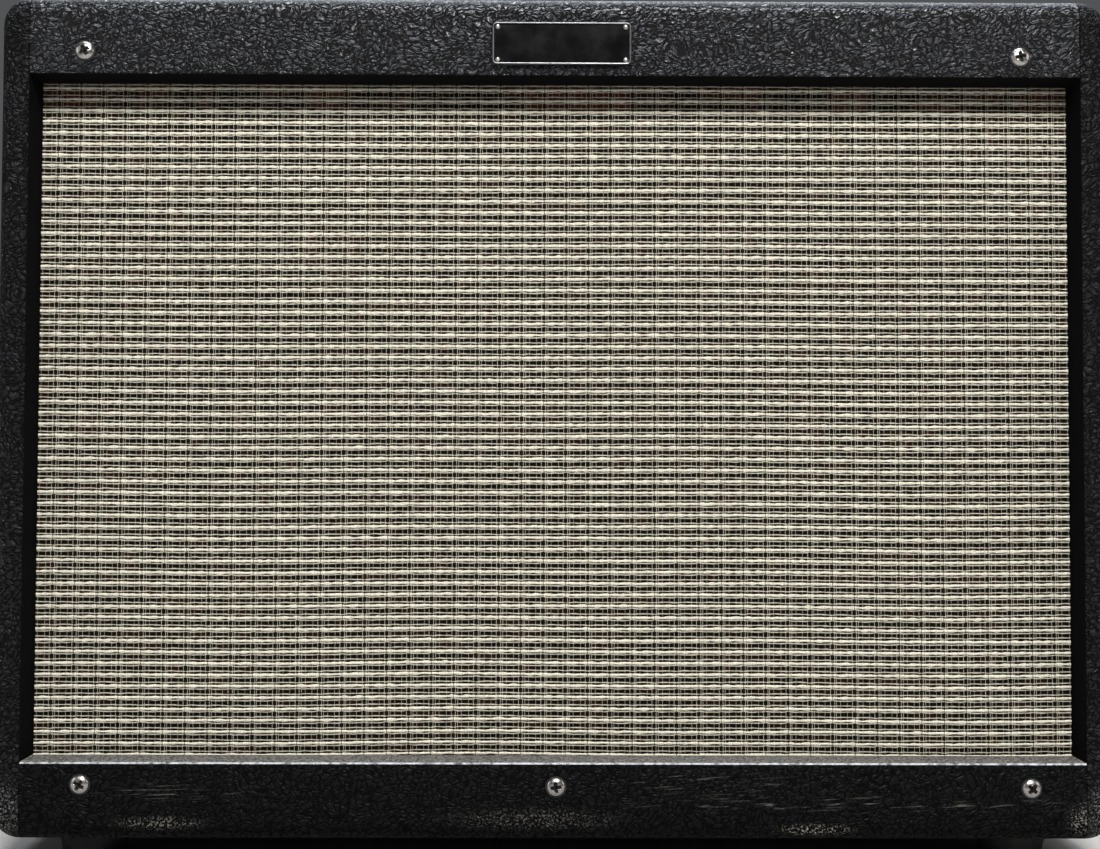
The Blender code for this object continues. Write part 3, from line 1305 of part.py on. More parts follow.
def speaker_suspension():
    """The pleated surround on the rim and the spider on its shelf."""
    surround_outer = SPEAKER_RADIUS - BASKET_STEEL - GASKET_WIDTH - GAP
    inner = CONE_RADIUS + SPIDER_CLEARANCE
    pleated_ring("speaker_surround", surround_outer, inner, SURROUND_LAND, GAP, SURROUND_PLEAT_COUNT, PAPER)
    level = -BASKET_SHELF_DEPTH + BASKET_STEEL + GAP
    spider_inner = COIL_RADIUS + COIL_WALL + SPIDER_CLEARANCE
    spider_outer = BASKET_SHELF_OUTER - BASKET_STEEL
    pleated_ring("speaker_spider", spider_outer, spider_inner, SPIDER_LAND, level, SPIDER_PLEAT_COUNT, PAPER)


def reverb_tank():
    """The spring tank: a hollow steel pan upside down on its flange, with two sockets on its long side."""
    rear = BACK_PANEL_FRONT - GAP - CLEAT - TANK_FROM_BACK_PANEL
    middle = rear - TANK_DEPTH / 2
    floor = INSIDE_BOTTOM + GAP
    half_x = TANK_LENGTH / 2
    half_y = TANK_DEPTH / 2 - TANK_FLANGE
    pan = bmesh.new()
    add_box(pan, (-half_x, -half_y, floor + TANK_STEEL), (half_x, half_y, floor + TANK_HEIGHT))
    round_edges(pan, lambda edge: on_plane(edge, 2, floor + TANK_HEIGHT), TANK_ROUNDING, 2)
    pan.faces.ensure_lookup_table()
    base = min(pan.faces, key=lambda item: item.calc_center_median().z)
    rim = [edge for edge in base.edges if on_plane(edge, 1, -half_y) or on_plane(edge, 1, half_y)]
    bmesh.ops.delete(pan, geom=[base], context="FACES_ONLY")
    for edge in rim:
        outwards = math.copysign(TANK_FLANGE, edge.verts[0].co.y)
        grown = bmesh.ops.extrude_edge_only(pan, edges=[edge])["geom"]
        ends = [item for item in grown if isinstance(item, bmesh.types.BMVert)]
        bmesh.ops.translate(pan, verts=ends, vec=(0.0, outwards, 0.0))
    bmesh.ops.recalc_face_normals(pan, faces=pan.faces)
    tank = add_part("reverb_tank", mesh_from(pan, "reverb_tank"), TANK, (0.0, middle, 0.0))
    sheet_steel(tank, TANK_STEEL)
    for end in (-1, 1):
        sockets = bmesh.new()
        x = end * (half_x - TANK_SOCKET_FROM_END)
        add_cylinder(sockets, TANK_SOCKET_RADIUS, (0, 0, -TANK_STEEL / 2), (0, 0, TANK_SOCKET_LENGTH))
        place = (x, middle - half_y, floor + TANK_HEIGHT / 2)
        name = "tank_socket_right" if end > 0 else "tank_socket_left"
        boolean(tank, add_cutter(name, mesh_from(sockets, name), place, FACING_FRONT), "UNION")
    shade(tank)


def build_cabinet():
    """Boards, panels, cloth, badge, feet and handle."""
    side_board("cabinet_side_left", -1)
    side_board("cabinet_side_right", 1)
    cabinet_top()
    cabinet_bottom()
    front_panel("front_panel_upper", UPPER_PANEL_EDGE, TOP, TOP, UPPER_PANEL_EDGE)
    front_panel("front_panel_lower", BOTTOM, LOWER_PANEL_EDGE, BOTTOM, LOWER_PANEL_EDGE)
    baffle_board()
    grille_cloth()
    badge_plate()
    back_panel("back_panel_upper", PANEL_TOP - UPPER_BACK_PANEL_HEIGHT, PANEL_TOP)
    lower_panel_low = INSIDE_BOTTOM + GAP
    back_panel("back_panel_lower", lower_panel_low, lower_panel_low + LOWER_BACK_PANEL_HEIGHT)
    for side, side_name in ((-1, "left"), (1, "right")):
        foot("foot_front_" + side_name, side, -1)
        foot("foot_rear_" + side_name, side, 1)
        handle_cap("handle_cap_" + side_name, side)
    handle_strap()


def build_amplifier():
    """The chassis with everything that it carries."""
    chassis()
    control_panel()
    control_board()
    jack_sets()
    knobs()
    push_buttons()
    toggle_levers()
    pilot_lamp()
    mains_inlet()
    fuse_holder()
    power_transformer()
    open_transformer("output_transformer", OUTPUT_TRANSFORMER_PLACE, OUTPUT_CORE, OUTPUT_COIL)
    open_transformer("choke", CHOKE_PLACE, CHOKE_CORE, CHOKE_COIL)
    power_valves()
    preamp_valves()


def build_speaker():
    """The speaker behind the baffle, and the reverb tank below it."""
    speaker_gasket()
    speaker_frame()
    speaker_magnet()
    speaker_cone()
    speaker_suspension()
    reverb_tank()


build_cabinet()
build_amplifier()
build_speaker()
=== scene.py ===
"""The look of a tube combo amplifier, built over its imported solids.

Metres, in the solids' frame: +Z up, the front looks along -Y. Left and right are as seen from the front.
"""

import json
import math
import random

import bmesh
import bpy
import numpy as np
from mathutils import Matrix, Vector


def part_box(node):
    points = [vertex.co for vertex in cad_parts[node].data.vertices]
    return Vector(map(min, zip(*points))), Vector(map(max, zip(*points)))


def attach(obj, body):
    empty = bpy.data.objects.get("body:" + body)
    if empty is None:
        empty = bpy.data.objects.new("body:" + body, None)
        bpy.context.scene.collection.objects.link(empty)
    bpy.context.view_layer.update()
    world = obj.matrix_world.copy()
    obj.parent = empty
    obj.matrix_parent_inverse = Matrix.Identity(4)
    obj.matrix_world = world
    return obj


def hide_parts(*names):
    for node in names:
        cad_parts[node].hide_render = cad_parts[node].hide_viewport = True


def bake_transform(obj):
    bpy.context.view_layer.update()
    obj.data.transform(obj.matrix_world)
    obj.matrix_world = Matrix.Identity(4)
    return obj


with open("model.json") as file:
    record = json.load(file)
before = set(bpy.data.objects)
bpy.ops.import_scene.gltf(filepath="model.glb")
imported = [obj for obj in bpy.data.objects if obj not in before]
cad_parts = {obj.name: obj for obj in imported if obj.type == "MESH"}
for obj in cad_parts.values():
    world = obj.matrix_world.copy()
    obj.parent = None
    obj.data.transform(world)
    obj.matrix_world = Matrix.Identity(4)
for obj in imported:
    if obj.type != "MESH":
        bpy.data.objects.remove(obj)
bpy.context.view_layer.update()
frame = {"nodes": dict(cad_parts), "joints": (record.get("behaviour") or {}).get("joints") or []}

# Edges and joints of the cabinet
GAP = 0.0003
CORNER_RADIUS = 0.0155
EDGE_RADIUS = 0.0095
OPENING_EDGE_RADIUS = 0.0012
TOP_REAR_RADIUS = 0.006
BACK_PANEL_RADIUS = 0.002
CLEAT = 0.018
GRAIN_SIZE = 0.0034
TURN_IN = 0.012

# Weave of the grille cloth, down each row from its bright yarn and along each column from its dark thread
ROW_PITCH = 0.00615
COLUMN_PITCH = 0.0121
FIRST_ROW_FROM_TOP = 0.0025
BRIGHT_WIDTH = 0.00140
FINE_WIDTH = 0.00062
FINE_HIGH = 0.00152
FINE_LOW = 0.00418
HIGH_LIFT = 0.00036
LOW_DROP = 0.00022
BULGE_PLACE = 0.0061
ROW_BOW = 0.00045
DARK_THREAD = 0.00028
WARP_PLACES = (
    (0.00108, 0.00030),
    (0.00217, 0.00026),
    (0.00434, 0.00020),
    (0.00813, 0.00020),
    (0.01084, 0.00030),
)
CLOTH_INSET = 0.0004
WEAVE_STATIONS = 8
WARP_STATIONS = 4
SHEET_STATIONS = 6

# Screws in the front panels
SCREW_RADIUS = 0.0049
SCREW_PLACES = ((-0.2521, 0.4357), (0.2493, 0.4345), (-0.2496, 0.0461), (0.0009, 0.0452), (0.2522, 0.0446))
SMALL_SCREW_RADIUS = 0.0036

# Badge plate
BADGE_RIM = 0.0012
BADGE_DEPTH = 0.0006
BADGE_CORNER = 0.0026
RIVET_RADIUS = 0.0015
RIVET_FROM_SIDE = 0.0031
RIVET_FROM_EDGE = 0.0027

# Knobs and dials
DIAL_STEPS = 12
DIAL_SWEEP = 300.0
KNOB_SETTINGS = {
    "presence": 4.0,
    "reverb": 3.0,
    "master": 5.0,
    "middle": 6.5,
    "bass": 5.5,
    "treble": 7.0,
    "drive": 4.5,
    "volume": 6.0,
}
KNOB_RADIUS = 0.010
KNOB_HEIGHT = 0.015
KNOB_TIP = 0.0168
KNOB_TAIL = 0.0108
KNOB_BAR_WIDTH = 0.010
KNOB_TIP_WIDTH = 0.0024
KNOB_DRAFT = 0.86
TICK_INNER = 0.0118
TICK_OUTER = 0.0142
TICK_HALF = 0.00016
NUMERAL_RADIUS = 0.0170
NUMERAL_SIZE = 0.0036
INK = 0.00006
BORDER_INSET = 0.006
BORDER_LINE = 0.0004

# Sockets, switches, buttons and the handle
JACK_HALF = 0.0075
JACK_NUT = (0.0080, 0.0135, 0.0056, 0.0020)
THIN_WASHER = 0.0004
SWITCHES = ("power", "standby")
BUTTONS = ("channel", "more_drive", "bright")
LEVER_LEAN = 12.0
STRAP_STATIONS = 72
STITCH_PITCH = 0.0042

# Speaker, along its axis from the front of its rim
RIM_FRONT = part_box("speaker_frame")[0].y
SPEAKER_Z = sum(corner.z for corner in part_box("speaker_frame")) / 2
SPEAKER_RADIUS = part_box("speaker_frame")[1].x
SPEAKER_PLACE = (0.0, RIM_FRONT, SPEAKER_Z)
BASKET_STEEL = 0.0016
BASKET_SEAT = 0.133
BASKET_STEP = 0.008
BASKET_DEPTH = 0.085
SHELF_DEPTH = 0.066
SHELF_OUTER = 0.075
SHELF_INNER = 0.058
FLOOR_RADIUS = 0.056
FLOOR_HOLE = 0.030
WINDOW_COUNT = 8
WINDOW_RIB_ANGLE = 17.0
WINDOW_OUTER = 0.124
WINDOW_INNER = 0.081
WINDOW_CORNER = 0.0075
TERMINAL_RADIUS = 0.103
TERMINAL_BOARD = 0.0016
CONE_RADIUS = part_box("speaker_cone")[1].x
COIL_RADIUS = 0.0228
CONE_FRONT = 0.002
CONE_NECK_DEPTH = 0.052
CONE_BULGE = 0.005
CONE_PAPER = 0.0009
COIL_END = -0.0999
DUST_CAP_RADIUS = 0.031
DUST_CAP_RISE = 0.012
SUSPENSION_SECTORS = 12
PLEAT_HEIGHT = 0.0011
MAGNET_RADIUS = 0.070
BOLT_WASHER = 0.0008
SPIDER_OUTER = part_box("speaker_spider")[1].x
SURROUND_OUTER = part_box("speaker_surround")[1].x

# Power valves and transformers
VALVE_BASE = 0.024
BELL_INSET = 0.0078

# Places that the solids give
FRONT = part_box("front_panel_upper")[0].y
BAFFLE_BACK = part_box("baffle_board")[1].y
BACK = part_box("cabinet_side_right")[1].y
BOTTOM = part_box("cabinet_side_right")[0].z
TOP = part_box("cabinet_side_right")[1].z
OUTER_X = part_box("cabinet_side_right")[1].x
INNER_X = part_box("front_panel_upper")[1].x + GAP
OPENING_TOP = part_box("front_panel_upper")[0].z
OPENING_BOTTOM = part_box("front_panel_lower")[1].z
PANEL_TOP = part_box("cabinet_top")[0].z - GAP
CHASSIS_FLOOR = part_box("chassis")[0].z
CONTROL_Y = sum(corner.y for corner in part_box("pilot_lamp")) / 2
UP = (0.0, 0.0, 1.0)
DOWN = (0.0, 0.0, -1.0)
FORWARD = (0.0, -1.0, 0.0)
BACKWARD = (0.0, 1.0, 0.0)
MERGE = 0.000001


# Materials


class Look:
    """A material whose nodes are wired one after another. Sizes are in metres."""

    def __init__(self, name, colour, roughness, metallic=0.0, **others):
        self.material = bpy.data.materials.new(name)
        self.material.use_nodes = True
        self.tree = self.material.node_tree
        self.shader = self.tree.nodes["Principled BSDF"]
        self.place = self.node("TexCoord").outputs["Object"]
        self.set("Base Color", (*colour, 1.0))
        self.set("Roughness", roughness)
        self.set("Metallic", metallic)
        for key, value in others.items():
            self.set(key.replace("_", " "), value)

    def set(self, key, value):
        """Sets one of the shader's inputs, or links it."""
        self.give(self.shader.inputs[key], value)

    def give(self, socket, value):
        """Links a socket to another, or sets its value."""
        if isinstance(value, bpy.types.NodeSocket):
            self.tree.links.new(value, socket)
        else:
            socket.default_value = value

    def node(self, kind, inputs=None, **settings):
        """A node with its settings and inputs."""
        made = self.tree.nodes.new("ShaderNode" + kind)
        for key, value in settings.items():
            setattr(made, key, value)
        for key, value in (inputs or {}).items():
            self.give(made.inputs[key], value)
        return made

    def math(self, operation, first, second=0.0):
        """One sum on two values."""
        return self.node("Math", {0: first, 1: second}, operation=operation).outputs[0]

    def times(self, first, second):
        """Two values multiplied."""
        return self.math("MULTIPLY", first, second)

    def plus(self, first, second):
        """Two values added."""
        return self.math("ADD", first, second)

    def stretched(self, scale, turn=(0.0, 0.0, 0.0), place=None):
        """Coordinates turned, then scaled along each axis."""
        turned_place = self.node("Mapping", {0: place or self.place, 2: turn}).outputs[0]
        return self.node("VectorMath", {0: turned_place, 1: scale}, operation="MULTIPLY").outputs[0]

    def noise(self, size, detail=3.0, place=None, distortion=0.0, roughness=0.5):
        """Soft noise of a size."""
        inputs = {"Vector": place or self.place, "Scale": 1.0 / size, "Detail": detail}
        inputs.update({"Distortion": distortion, "Roughness": roughness})
        return self.node("TexNoise", inputs).outputs["Fac"]

    def warped(self, size, reach, place=None):
        """Coordinates pushed about by noise."""
        place = place or self.place
        push = self.node("TexNoise", {"Vector": place, "Scale": 1.0 / size, "Detail": 2.0}).outputs["Color"]
        centred = self.node("VectorMath", {0: push, 1: (0.5, 0.5, 0.5)}, operation="SUBTRACT").outputs[0]
        scaled = self.node("VectorMath", {0: centred, 3: 2.0 * reach}, operation="SCALE").outputs[0]
        return self.node("VectorMath", {0: place, 1: scaled}, operation="ADD").outputs[0]

    def cells(self, size, feature="F1", place=None, output="Distance"):
        """Cells of a size: the distance from each one's middle, or from its edge."""
        inputs = {"Vector": place or self.place, "Scale": 1.0 / size}
        return self.node("TexVoronoi", inputs, feature=feature).outputs[output]

    def along(self, axis):
        """One coordinate."""
        return self.node("SeparateXYZ", {0: self.place}).outputs[axis]

    def ramp(self, value, low, high, start=0.0, end=1.0):
        """A value's range, smoothly mapped to another."""
        inputs = {"Value": value, "From Min": low, "From Max": high, "To Min": start, "To Max": end}
        return self.node("MapRange", inputs, interpolation_type="SMOOTHSTEP").outputs[0]

    def mix(self, share, first, second):
        """Two colours mixed by a share."""
        shades = (first, second)
        pair = [shade if isinstance(shade, bpy.types.NodeSocket) else (*shade, 1.0) for shade in shades]
        inputs = {0: share, 6: pair[0], 7: pair[1]}
        return self.node("Mix", inputs, data_type="RGBA").outputs[2]

    def colour(self, share, first, second):
        """The base colour as a mix of two."""
        self.set("Base Color", self.mix(share, first, second))

    def rough(self, value, low, high):
        """The roughness, from noise between two values."""
        self.set("Roughness", self.ramp(value, 0.25, 0.75, low, high))

    def bump(self, height, depth):
        """Relief of a depth."""
        relief = self.node("Bump", {"Height": height, "Distance": depth, "Strength": 1.0})
        self.set("Normal", relief.outputs["Normal"])

    def spot(self, centre, reach):
        """1 in the middle of an oval spot, falling to 0 at its rim."""
        offset = self.node("VectorMath", {0: self.place, 1: centre}, operation="SUBTRACT").outputs[0]
        scaled = self.node("VectorMath", {0: offset, 1: reach}, operation="DIVIDE").outputs[0]
        length = self.node("VectorMath", {0: scaled}, operation="LENGTH").outputs["Value"]
        return self.ramp(length, 1.0, 0.2)

    def spots(self, places):
        """Oval spots on the front, each given as (x, z, half width, half height, share)."""
        total = 0.0
        for x, z, wide, high, share in places:
            total = self.plus(self.times(self.spot((x, FRONT, z), (wide, 0.03, high)), share), total)
        return total

    def facing(self, axis, low, high):
        """1 where the surface faces along an axis."""
        normal = self.node("NewGeometry").outputs["Normal"]
        return self.ramp(self.node("SeparateXYZ", {0: normal}).outputs[axis], low, high)


def grained(look, size, depth):
    """Wrinkled leather grain: bent, slanting cells crossed by thin ridges. Returns its height, 0 to 1."""
    flow = look.warped(size * 8.0, size * 2.6)
    bent = look.warped(size * 1.3, size * 0.6, flow)
    slanted = look.stretched((0.85, 1.0, 1.2), (0.0, 0.4, 0.0), bent)
    pillow = look.ramp(look.cells(size, "DISTANCE_TO_EDGE", slanted), 0.0, 0.30)
    away = look.math("ABSOLUTE", look.plus(look.noise(size * 1.1, 2.0, slanted), -0.5))
    ridge = look.ramp(away, 0.07, 0.0)
    swell = look.noise(size * 1.5, 2.0, slanted)
    pores = look.noise(size * 0.2, 2.0)
    height = look.plus(look.times(pillow, look.plus(look.times(swell, 0.6), 0.3)), look.times(ridge, 0.30))
    height = look.plus(height, look.times(pores, 0.08))
    look.bump(height, depth)
    return height


def vinyl(look, crease_shade, top, depth, rough):
    """Black vinyl, duller deep in its creases and darkened there by painted shade. Returns its colour."""
    height = grained(look, GRAIN_SIZE, depth)
    look.set("Roughness", look.ramp(height, 0.08, 0.30, 0.85, rough))
    # The first colour, deep in the creases, is painted shade.
    return look.mix(look.ramp(height, 0.14, 0.64), crease_shade, top)


def upper_vinyl():
    """Charcoal vinyl with a deep grain and a painted highlight, pale blue, where it faces up."""
    look = Look("vinyl_grain", (0.02, 0.021, 0.024), 0.32, Specular_IOR_Level=0.38)
    face = vinyl(look, (0.0008, 0.0008, 0.0009), (0.036, 0.0375, 0.043), 0.0019, 0.25)
    # Painted highlight: faces turned up are lightened to pale blue, like light from above reflected on the
    # top edge.
    top_highlight = look.times(look.facing(2, 0.45, 0.95), look.ramp(look.noise(0.0012, 3.0), 0.2, 0.7, 0.45, 1.0))
    face_with_highlight = look.mix(top_highlight, face, (0.27, 0.28, 0.31))
    look.set("Base Color", face_with_highlight)
    return look.material


def lower_vinyl():
    """The same vinyl on the lower panel: worn smoother, scuffed, with dust on its ledge, painted shade making
    it darker than the upper panel, and a painted highlight along its front edge.
    """
    look = Look("vinyl_worn_shaded", (0.012, 0.012, 0.013), 0.45, Specular_IOR_Level=0.10)
    # Painted shade: these colours are far darker than the upper panel's.
    base = vinyl(look, (0.0016, 0.0017, 0.0018), (0.0072, 0.0075, 0.0081), 0.0005, 0.42)
    slanting = look.stretched((0.06, 1.0, 1.0), (0.0, 0.05, 0.0))
    scratches = look.ramp(look.noise(0.0011, 4.0, slanting), 0.56, 0.70)
    speckle = look.ramp(look.noise(0.0011, 4.0), 0.50, 0.66)
    scratched = look.spots((
        (0.17, 0.036, 0.17, 0.006, 0.34),
        (0.08, 0.047, 0.06, 0.008, 0.24),
        (-0.20, 0.042, 0.06, 0.006, 0.24),
    ))
    rubbed = look.spots((
        (0.137, 0.0225, 0.028, 0.0045, 1.0),
        (0.279, 0.028, 0.011, 0.012, 0.75),
        (-0.208, 0.026, 0.032, 0.005, 0.55),
        (-0.010, 0.028, 0.060, 0.008, 0.30),
    ))
    marks = look.plus(look.times(scratched, scratches), look.times(rubbed, speckle))
    worn = look.mix(marks, base, (0.30, 0.285, 0.26))
    specks = look.ramp(look.noise(0.0016, 4.0), 0.35, 0.65)
    dust = look.mix(specks, (0.050, 0.049, 0.047), (0.25, 0.245, 0.23))
    ledge = look.facing(2, 0.70, 0.98)
    # Painted highlight: a pale blue line where the front edge turns up.
    rim = look.times(look.facing(2, 0.12, 0.35), look.ramp(look.noise(0.0035, 3.0), 0.30, 0.60, 0.25, 1.0))
    with_rim_highlight = look.mix(rim, worn, (0.50, 0.52, 0.56))
    look.set("Base Color", look.mix(ledge, with_rim_highlight, dust))
    return look.material


def side_vinyl():
    """Vinyl on the boards, tops and back panels: the deep grain with a little wear at the front corners,
    painted shade making it darker than the upper front panel, and a painted highlight where it faces up near
    the front.
    """
    look = Look("vinyl_boards", (0.02, 0.021, 0.024), 0.42, Specular_IOR_Level=0.2)
    # Painted shade: the top colour here is darker than the upper front panel's.
    shade_darkened_base = vinyl(look, (0.0008, 0.0008, 0.0009), (0.0150, 0.0156, 0.0178), 0.0017, 0.34)
    corners = look.spots(((-0.290, 0.032, 0.012, 0.022, 0.8), (0.290, 0.032, 0.012, 0.022, 0.8)))
    rubs = look.times(look.ramp(look.noise(0.0012, 4.0), 0.48, 0.64), corners)
    worn = look.mix(rubs, shade_darkened_base, (0.20, 0.195, 0.185))
    # Painted highlight: faces turned up near the front are lightened to pale blue.
    front_rim = look.times(look.facing(2, 0.45, 0.95), look.ramp(look.along(1), FRONT + 0.03, FRONT + 0.006))
    top_highlight = look.times(front_rim, look.ramp(look.noise(0.0012, 3.0), 0.2, 0.7, 0.45, 1.0))
    look.set("Base Color", look.mix(top_highlight, worn, (0.13, 0.135, 0.15)))
    return look.material


def recess_vinyl():
    """The flat, dull vinyl turned in round the opening."""
    look = Look("vinyl_recess", (0.004, 0.004, 0.004), 0.9, Specular_IOR_Level=0.05)
    fleck = look.noise(0.0012, 3.0)
    look.colour(fleck, (0.0045, 0.0045, 0.0048), (0.0130, 0.0130, 0.0137))
    look.bump(fleck, 0.0002)
    return look.material


def yarn(name, colour, dark, size):
    """Yarn with fine filaments along its length and uneven tone."""
    look = Look(name, colour, 0.72, Specular_IOR_Level=0.15)
    fibre = look.noise(size, 3.0)
    patches = look.noise(0.008, 3.0)
    tone = look.plus(look.times(fibre, 0.88), look.times(patches, 0.12))
    look.colour(look.ramp(tone, 0.33, 0.60), dark, colour)
    look.bump(fibre, 0.0002)
    return look.material


def cloth_ground():
    """The cloth's dark ground, with its own fine threads, a few warm cells, and a reddish brown tint painted
    on its top rows as the colour of the shade under the upper panel.
    """
    look = Look("cloth_ground", (0.02, 0.017, 0.013), 0.85, Specular_IOR_Level=0.05)
    column = look.times(look.along(0), math.tau / 0.00078)
    row = look.times(look.along(2), math.tau / 0.00060)
    weave = look.plus(look.math("SINE", column), look.math("SINE", row))
    warm = look.cells(0.012, "F1", look.stretched((1.0, 1.0, 2.0)), "Color")
    tinted = look.ramp(look.node("SeparateXYZ", {0: warm}).outputs[0], 0.7, 0.9)
    base = look.mix(look.ramp(weave, -0.5, 1.6), (0.003, 0.0026, 0.002), (0.022, 0.019, 0.014))
    shaded = look.ramp(look.along(2), OPENING_TOP - 0.015, OPENING_TOP - 0.012)
    reddened = look.mix(look.times(tinted, 0.5), base, (0.035, 0.014, 0.008))
    # Painted shade: a reddish brown tint on the top rows, in the upper panel's shadow.
    shadow_tint_cells = look.times(shaded, look.ramp(look.noise(0.03, 2.0), 0.40, 0.60))
    look.set("Base Color", look.mix(shadow_tint_cells, reddened, (0.085, 0.028, 0.018)))
    look.bump(weave, 0.0001)
    return look.material


def brushed(name, colour, roughness, grain=(1.0, 1.0, 1.0), depth=0.00003):
    """Metal with fine marks and uneven gloss."""
    look = Look(name, colour, roughness, 1.0)
    marks = look.noise(0.0012, 5.0, look.stretched(grain))
    haze = look.noise(0.025, 3.0)
    look.set("Roughness", look.ramp(look.plus(look.times(marks, 0.6), look.times(haze, 0.4)), 0.3, 0.7,
                                    roughness * 0.7, roughness * 1.4))
    darker = tuple(value * 0.82 for value in colour)
    look.colour(haze, darker, colour)
    look.bump(marks, depth)
    return look.material


def moulded(name, colour, roughness, fine=0.0006, depth=0.00004, gloss=0.5):
    """Moulded plastic or rubber with a fine texture and uneven gloss."""
    look = Look(name, colour, roughness, Specular_IOR_Level=gloss)
    fleck = look.noise(fine, 3.0)
    haze = look.noise(0.010, 3.0)
    lighter = tuple(value * 1.8 + 0.001 for value in colour)
    look.colour(haze, colour, lighter)
    look.rough(haze, roughness * 0.8, roughness * 1.2)
    look.bump(fleck, depth)
    return look.material


def wood(name, pale, dark, scale=(0.12, 1.0, 1.0)):
    """Sawn timber or ply with long grain and pores."""
    look = Look(name, pale, 0.7)
    grain = look.noise(0.006, 6.0, look.stretched(scale), 1.2, 0.6)
    figure = look.noise(0.05, 3.0, look.stretched(scale), 2.0)
    look.colour(look.ramp(look.plus(look.times(grain, 0.6), look.times(figure, 0.4)), 0.35, 0.65), dark, pale)
    look.rough(grain, 0.6, 0.85)
    look.bump(grain, 0.0002)
    return look.material


def laminated():
    """Black-painted iron with the edges of its laminations."""
    look = Look("core_iron", (0.03, 0.03, 0.032), 0.5, 0.5)
    sheets = look.math("SINE", look.times(look.along(1), math.tau / 0.0009))
    haze = look.noise(0.012, 3.0)
    tone = look.plus(sheets, look.times(haze, 2.0))
    look.colour(look.ramp(tone, -0.5, 2.0), (0.012, 0.012, 0.013), (0.055, 0.054, 0.055))
    look.rough(haze, 0.35, 0.6)
    look.bump(look.plus(sheets, look.noise(0.001, 2.0)), 0.00006)
    return look.material


def printed_board():
    """Green board with paler tracks; the parts above it are plated steel."""
    look = Look("circuit", (0.02, 0.10, 0.05), 0.4)
    cells = look.cells(0.006, "DISTANCE_TO_EDGE", look.stretched((1.0, 1.0, 0.3)))
    tracks = look.ramp(cells, 0.10, 0.16)
    board = look.mix(tracks, (0.05, 0.22, 0.10), (0.015, 0.085, 0.04))
    above = look.ramp(look.along(2), PANEL_TOP - 0.0098, PANEL_TOP - 0.0096)
    plated = look.mix(look.noise(0.004, 3.0), (0.45, 0.45, 0.46), (0.62, 0.62, 0.63))
    look.set("Base Color", look.mix(above, board, plated))
    look.set("Metallic", above)
    look.set("Roughness", look.ramp(look.noise(0.003, 3.0), 0.3, 0.7, 0.3, 0.5))
    return look.material


def glass():
    """Valve glass, slightly grey."""
    look = Look("valve_envelope", (0.94, 0.96, 0.96), 0.03, 0.0, Transmission_Weight=1.0, IOR=1.45)
    look.set("Roughness", look.ramp(look.noise(0.008, 3.0), 0.3, 0.7, 0.02, 0.06))
    return look.material


def jewel():
    """Red lamp jewel with a dim glow."""
    look = Look("jewel_red", (0.55, 0.01, 0.01), 0.08, 0.0, Coat_Weight=0.6, Coat_Roughness=0.03)
    depth = look.cells(0.003, "F1")
    look.colour(look.ramp(depth, 0.1, 0.6), (0.75, 0.02, 0.015), (0.30, 0.004, 0.004))
    look.set("Emission Color", (0.9, 0.03, 0.02, 1.0))
    look.set("Emission Strength", 0.35)
    return look.material


def paper():
    """Pressed speaker paper with fibres and faint rings."""
    look = Look("pressed_paper", (0.025, 0.023, 0.021), 0.85)
    fibre = look.noise(0.0012, 5.0, None, 1.5)
    look.colour(look.ramp(fibre, 0.3, 0.7), (0.012, 0.011, 0.010), (0.045, 0.042, 0.038))
    look.bump(fibre, 0.0003)
    return look.material


def treated_cloth(name, colour):
    """Woven cloth stiffened with resin."""
    look = Look(name, colour, 0.7)
    weave = look.plus(look.math("SINE", look.times(look.along(0), math.tau / 0.0012)),
                      look.math("SINE", look.times(look.along(2), math.tau / 0.0012)))
    darker = tuple(value * 0.5 for value in colour)
    look.colour(look.ramp(weave, -1.5, 1.5), darker, colour)
    look.bump(weave, 0.0001)
    return look.material


def cork():
    """Pressed cork with dark grains."""
    look = Look("gasket_cork", (0.30, 0.18, 0.09), 0.9)
    crumbs = look.cells(0.0018, "F1", None, "Color")
    share = look.node("SeparateXYZ", {0: crumbs}).outputs[0]
    look.colour(share, (0.12, 0.065, 0.03), (0.42, 0.27, 0.14))
    look.bump(look.cells(0.0018), 0.0004)
    return look.material


def ferrite():
    """Sintered magnet with a grey, slightly pitted face."""
    look = Look("magnet_ferrite", (0.06, 0.06, 0.065), 0.7)
    pits = look.noise(0.0010, 4.0)
    look.colour(look.ramp(pits, 0.35, 0.65), (0.030, 0.030, 0.033), (0.085, 0.085, 0.09))
    look.rough(look.noise(0.01), 0.55, 0.8)
    look.bump(pits, 0.0002)
    return look.material


VINYL = upper_vinyl()
VINYL_WORN_SHADED = lower_vinyl()
VINYL_BOARDS = side_vinyl()
VINYL_RECESS = recess_vinyl()
YARN_BRIGHT = yarn("yarn_silver", (0.74, 0.71, 0.61), (0.36, 0.34, 0.27), 0.0005)
YARN_FINE = yarn("yarn_grey", (0.52, 0.50, 0.42), (0.17, 0.155, 0.12), 0.0004)
YARN_WARP = yarn("yarn_warp", (0.44, 0.42, 0.35), (0.15, 0.14, 0.11), 0.0004)
YARN_DARK = yarn("yarn_dark", (0.020, 0.017, 0.013), (0.005, 0.004, 0.003), 0.0004)
CLOTH = cloth_ground()
SCREW_STEEL = brushed("screw_steel", (0.50, 0.48, 0.46), 0.30)
RECESS_SHADE = moulded("recess_shade_black", (0.004, 0.004, 0.004), 0.8)
BADGE_RIM_METAL = brushed("badge_nickel", (0.115, 0.115, 0.12), 0.36)
CHROME = brushed("chrome_plate", (0.78, 0.78, 0.79), 0.13, (0.25, 1.0, 1.0), 0.0000008)
PLATED = brushed("plated_steel_sheet", (0.52, 0.53, 0.55), 0.38)
ZINC = brushed("zinc_sheet", (0.40, 0.41, 0.42), 0.42)
BRASS = brushed("contact_brass", (0.72, 0.53, 0.24), 0.25)
BADGE_FACE = moulded("badge_black", (0.0015, 0.0015, 0.0018), 0.22, 0.0008, 0.00002, 0.25)
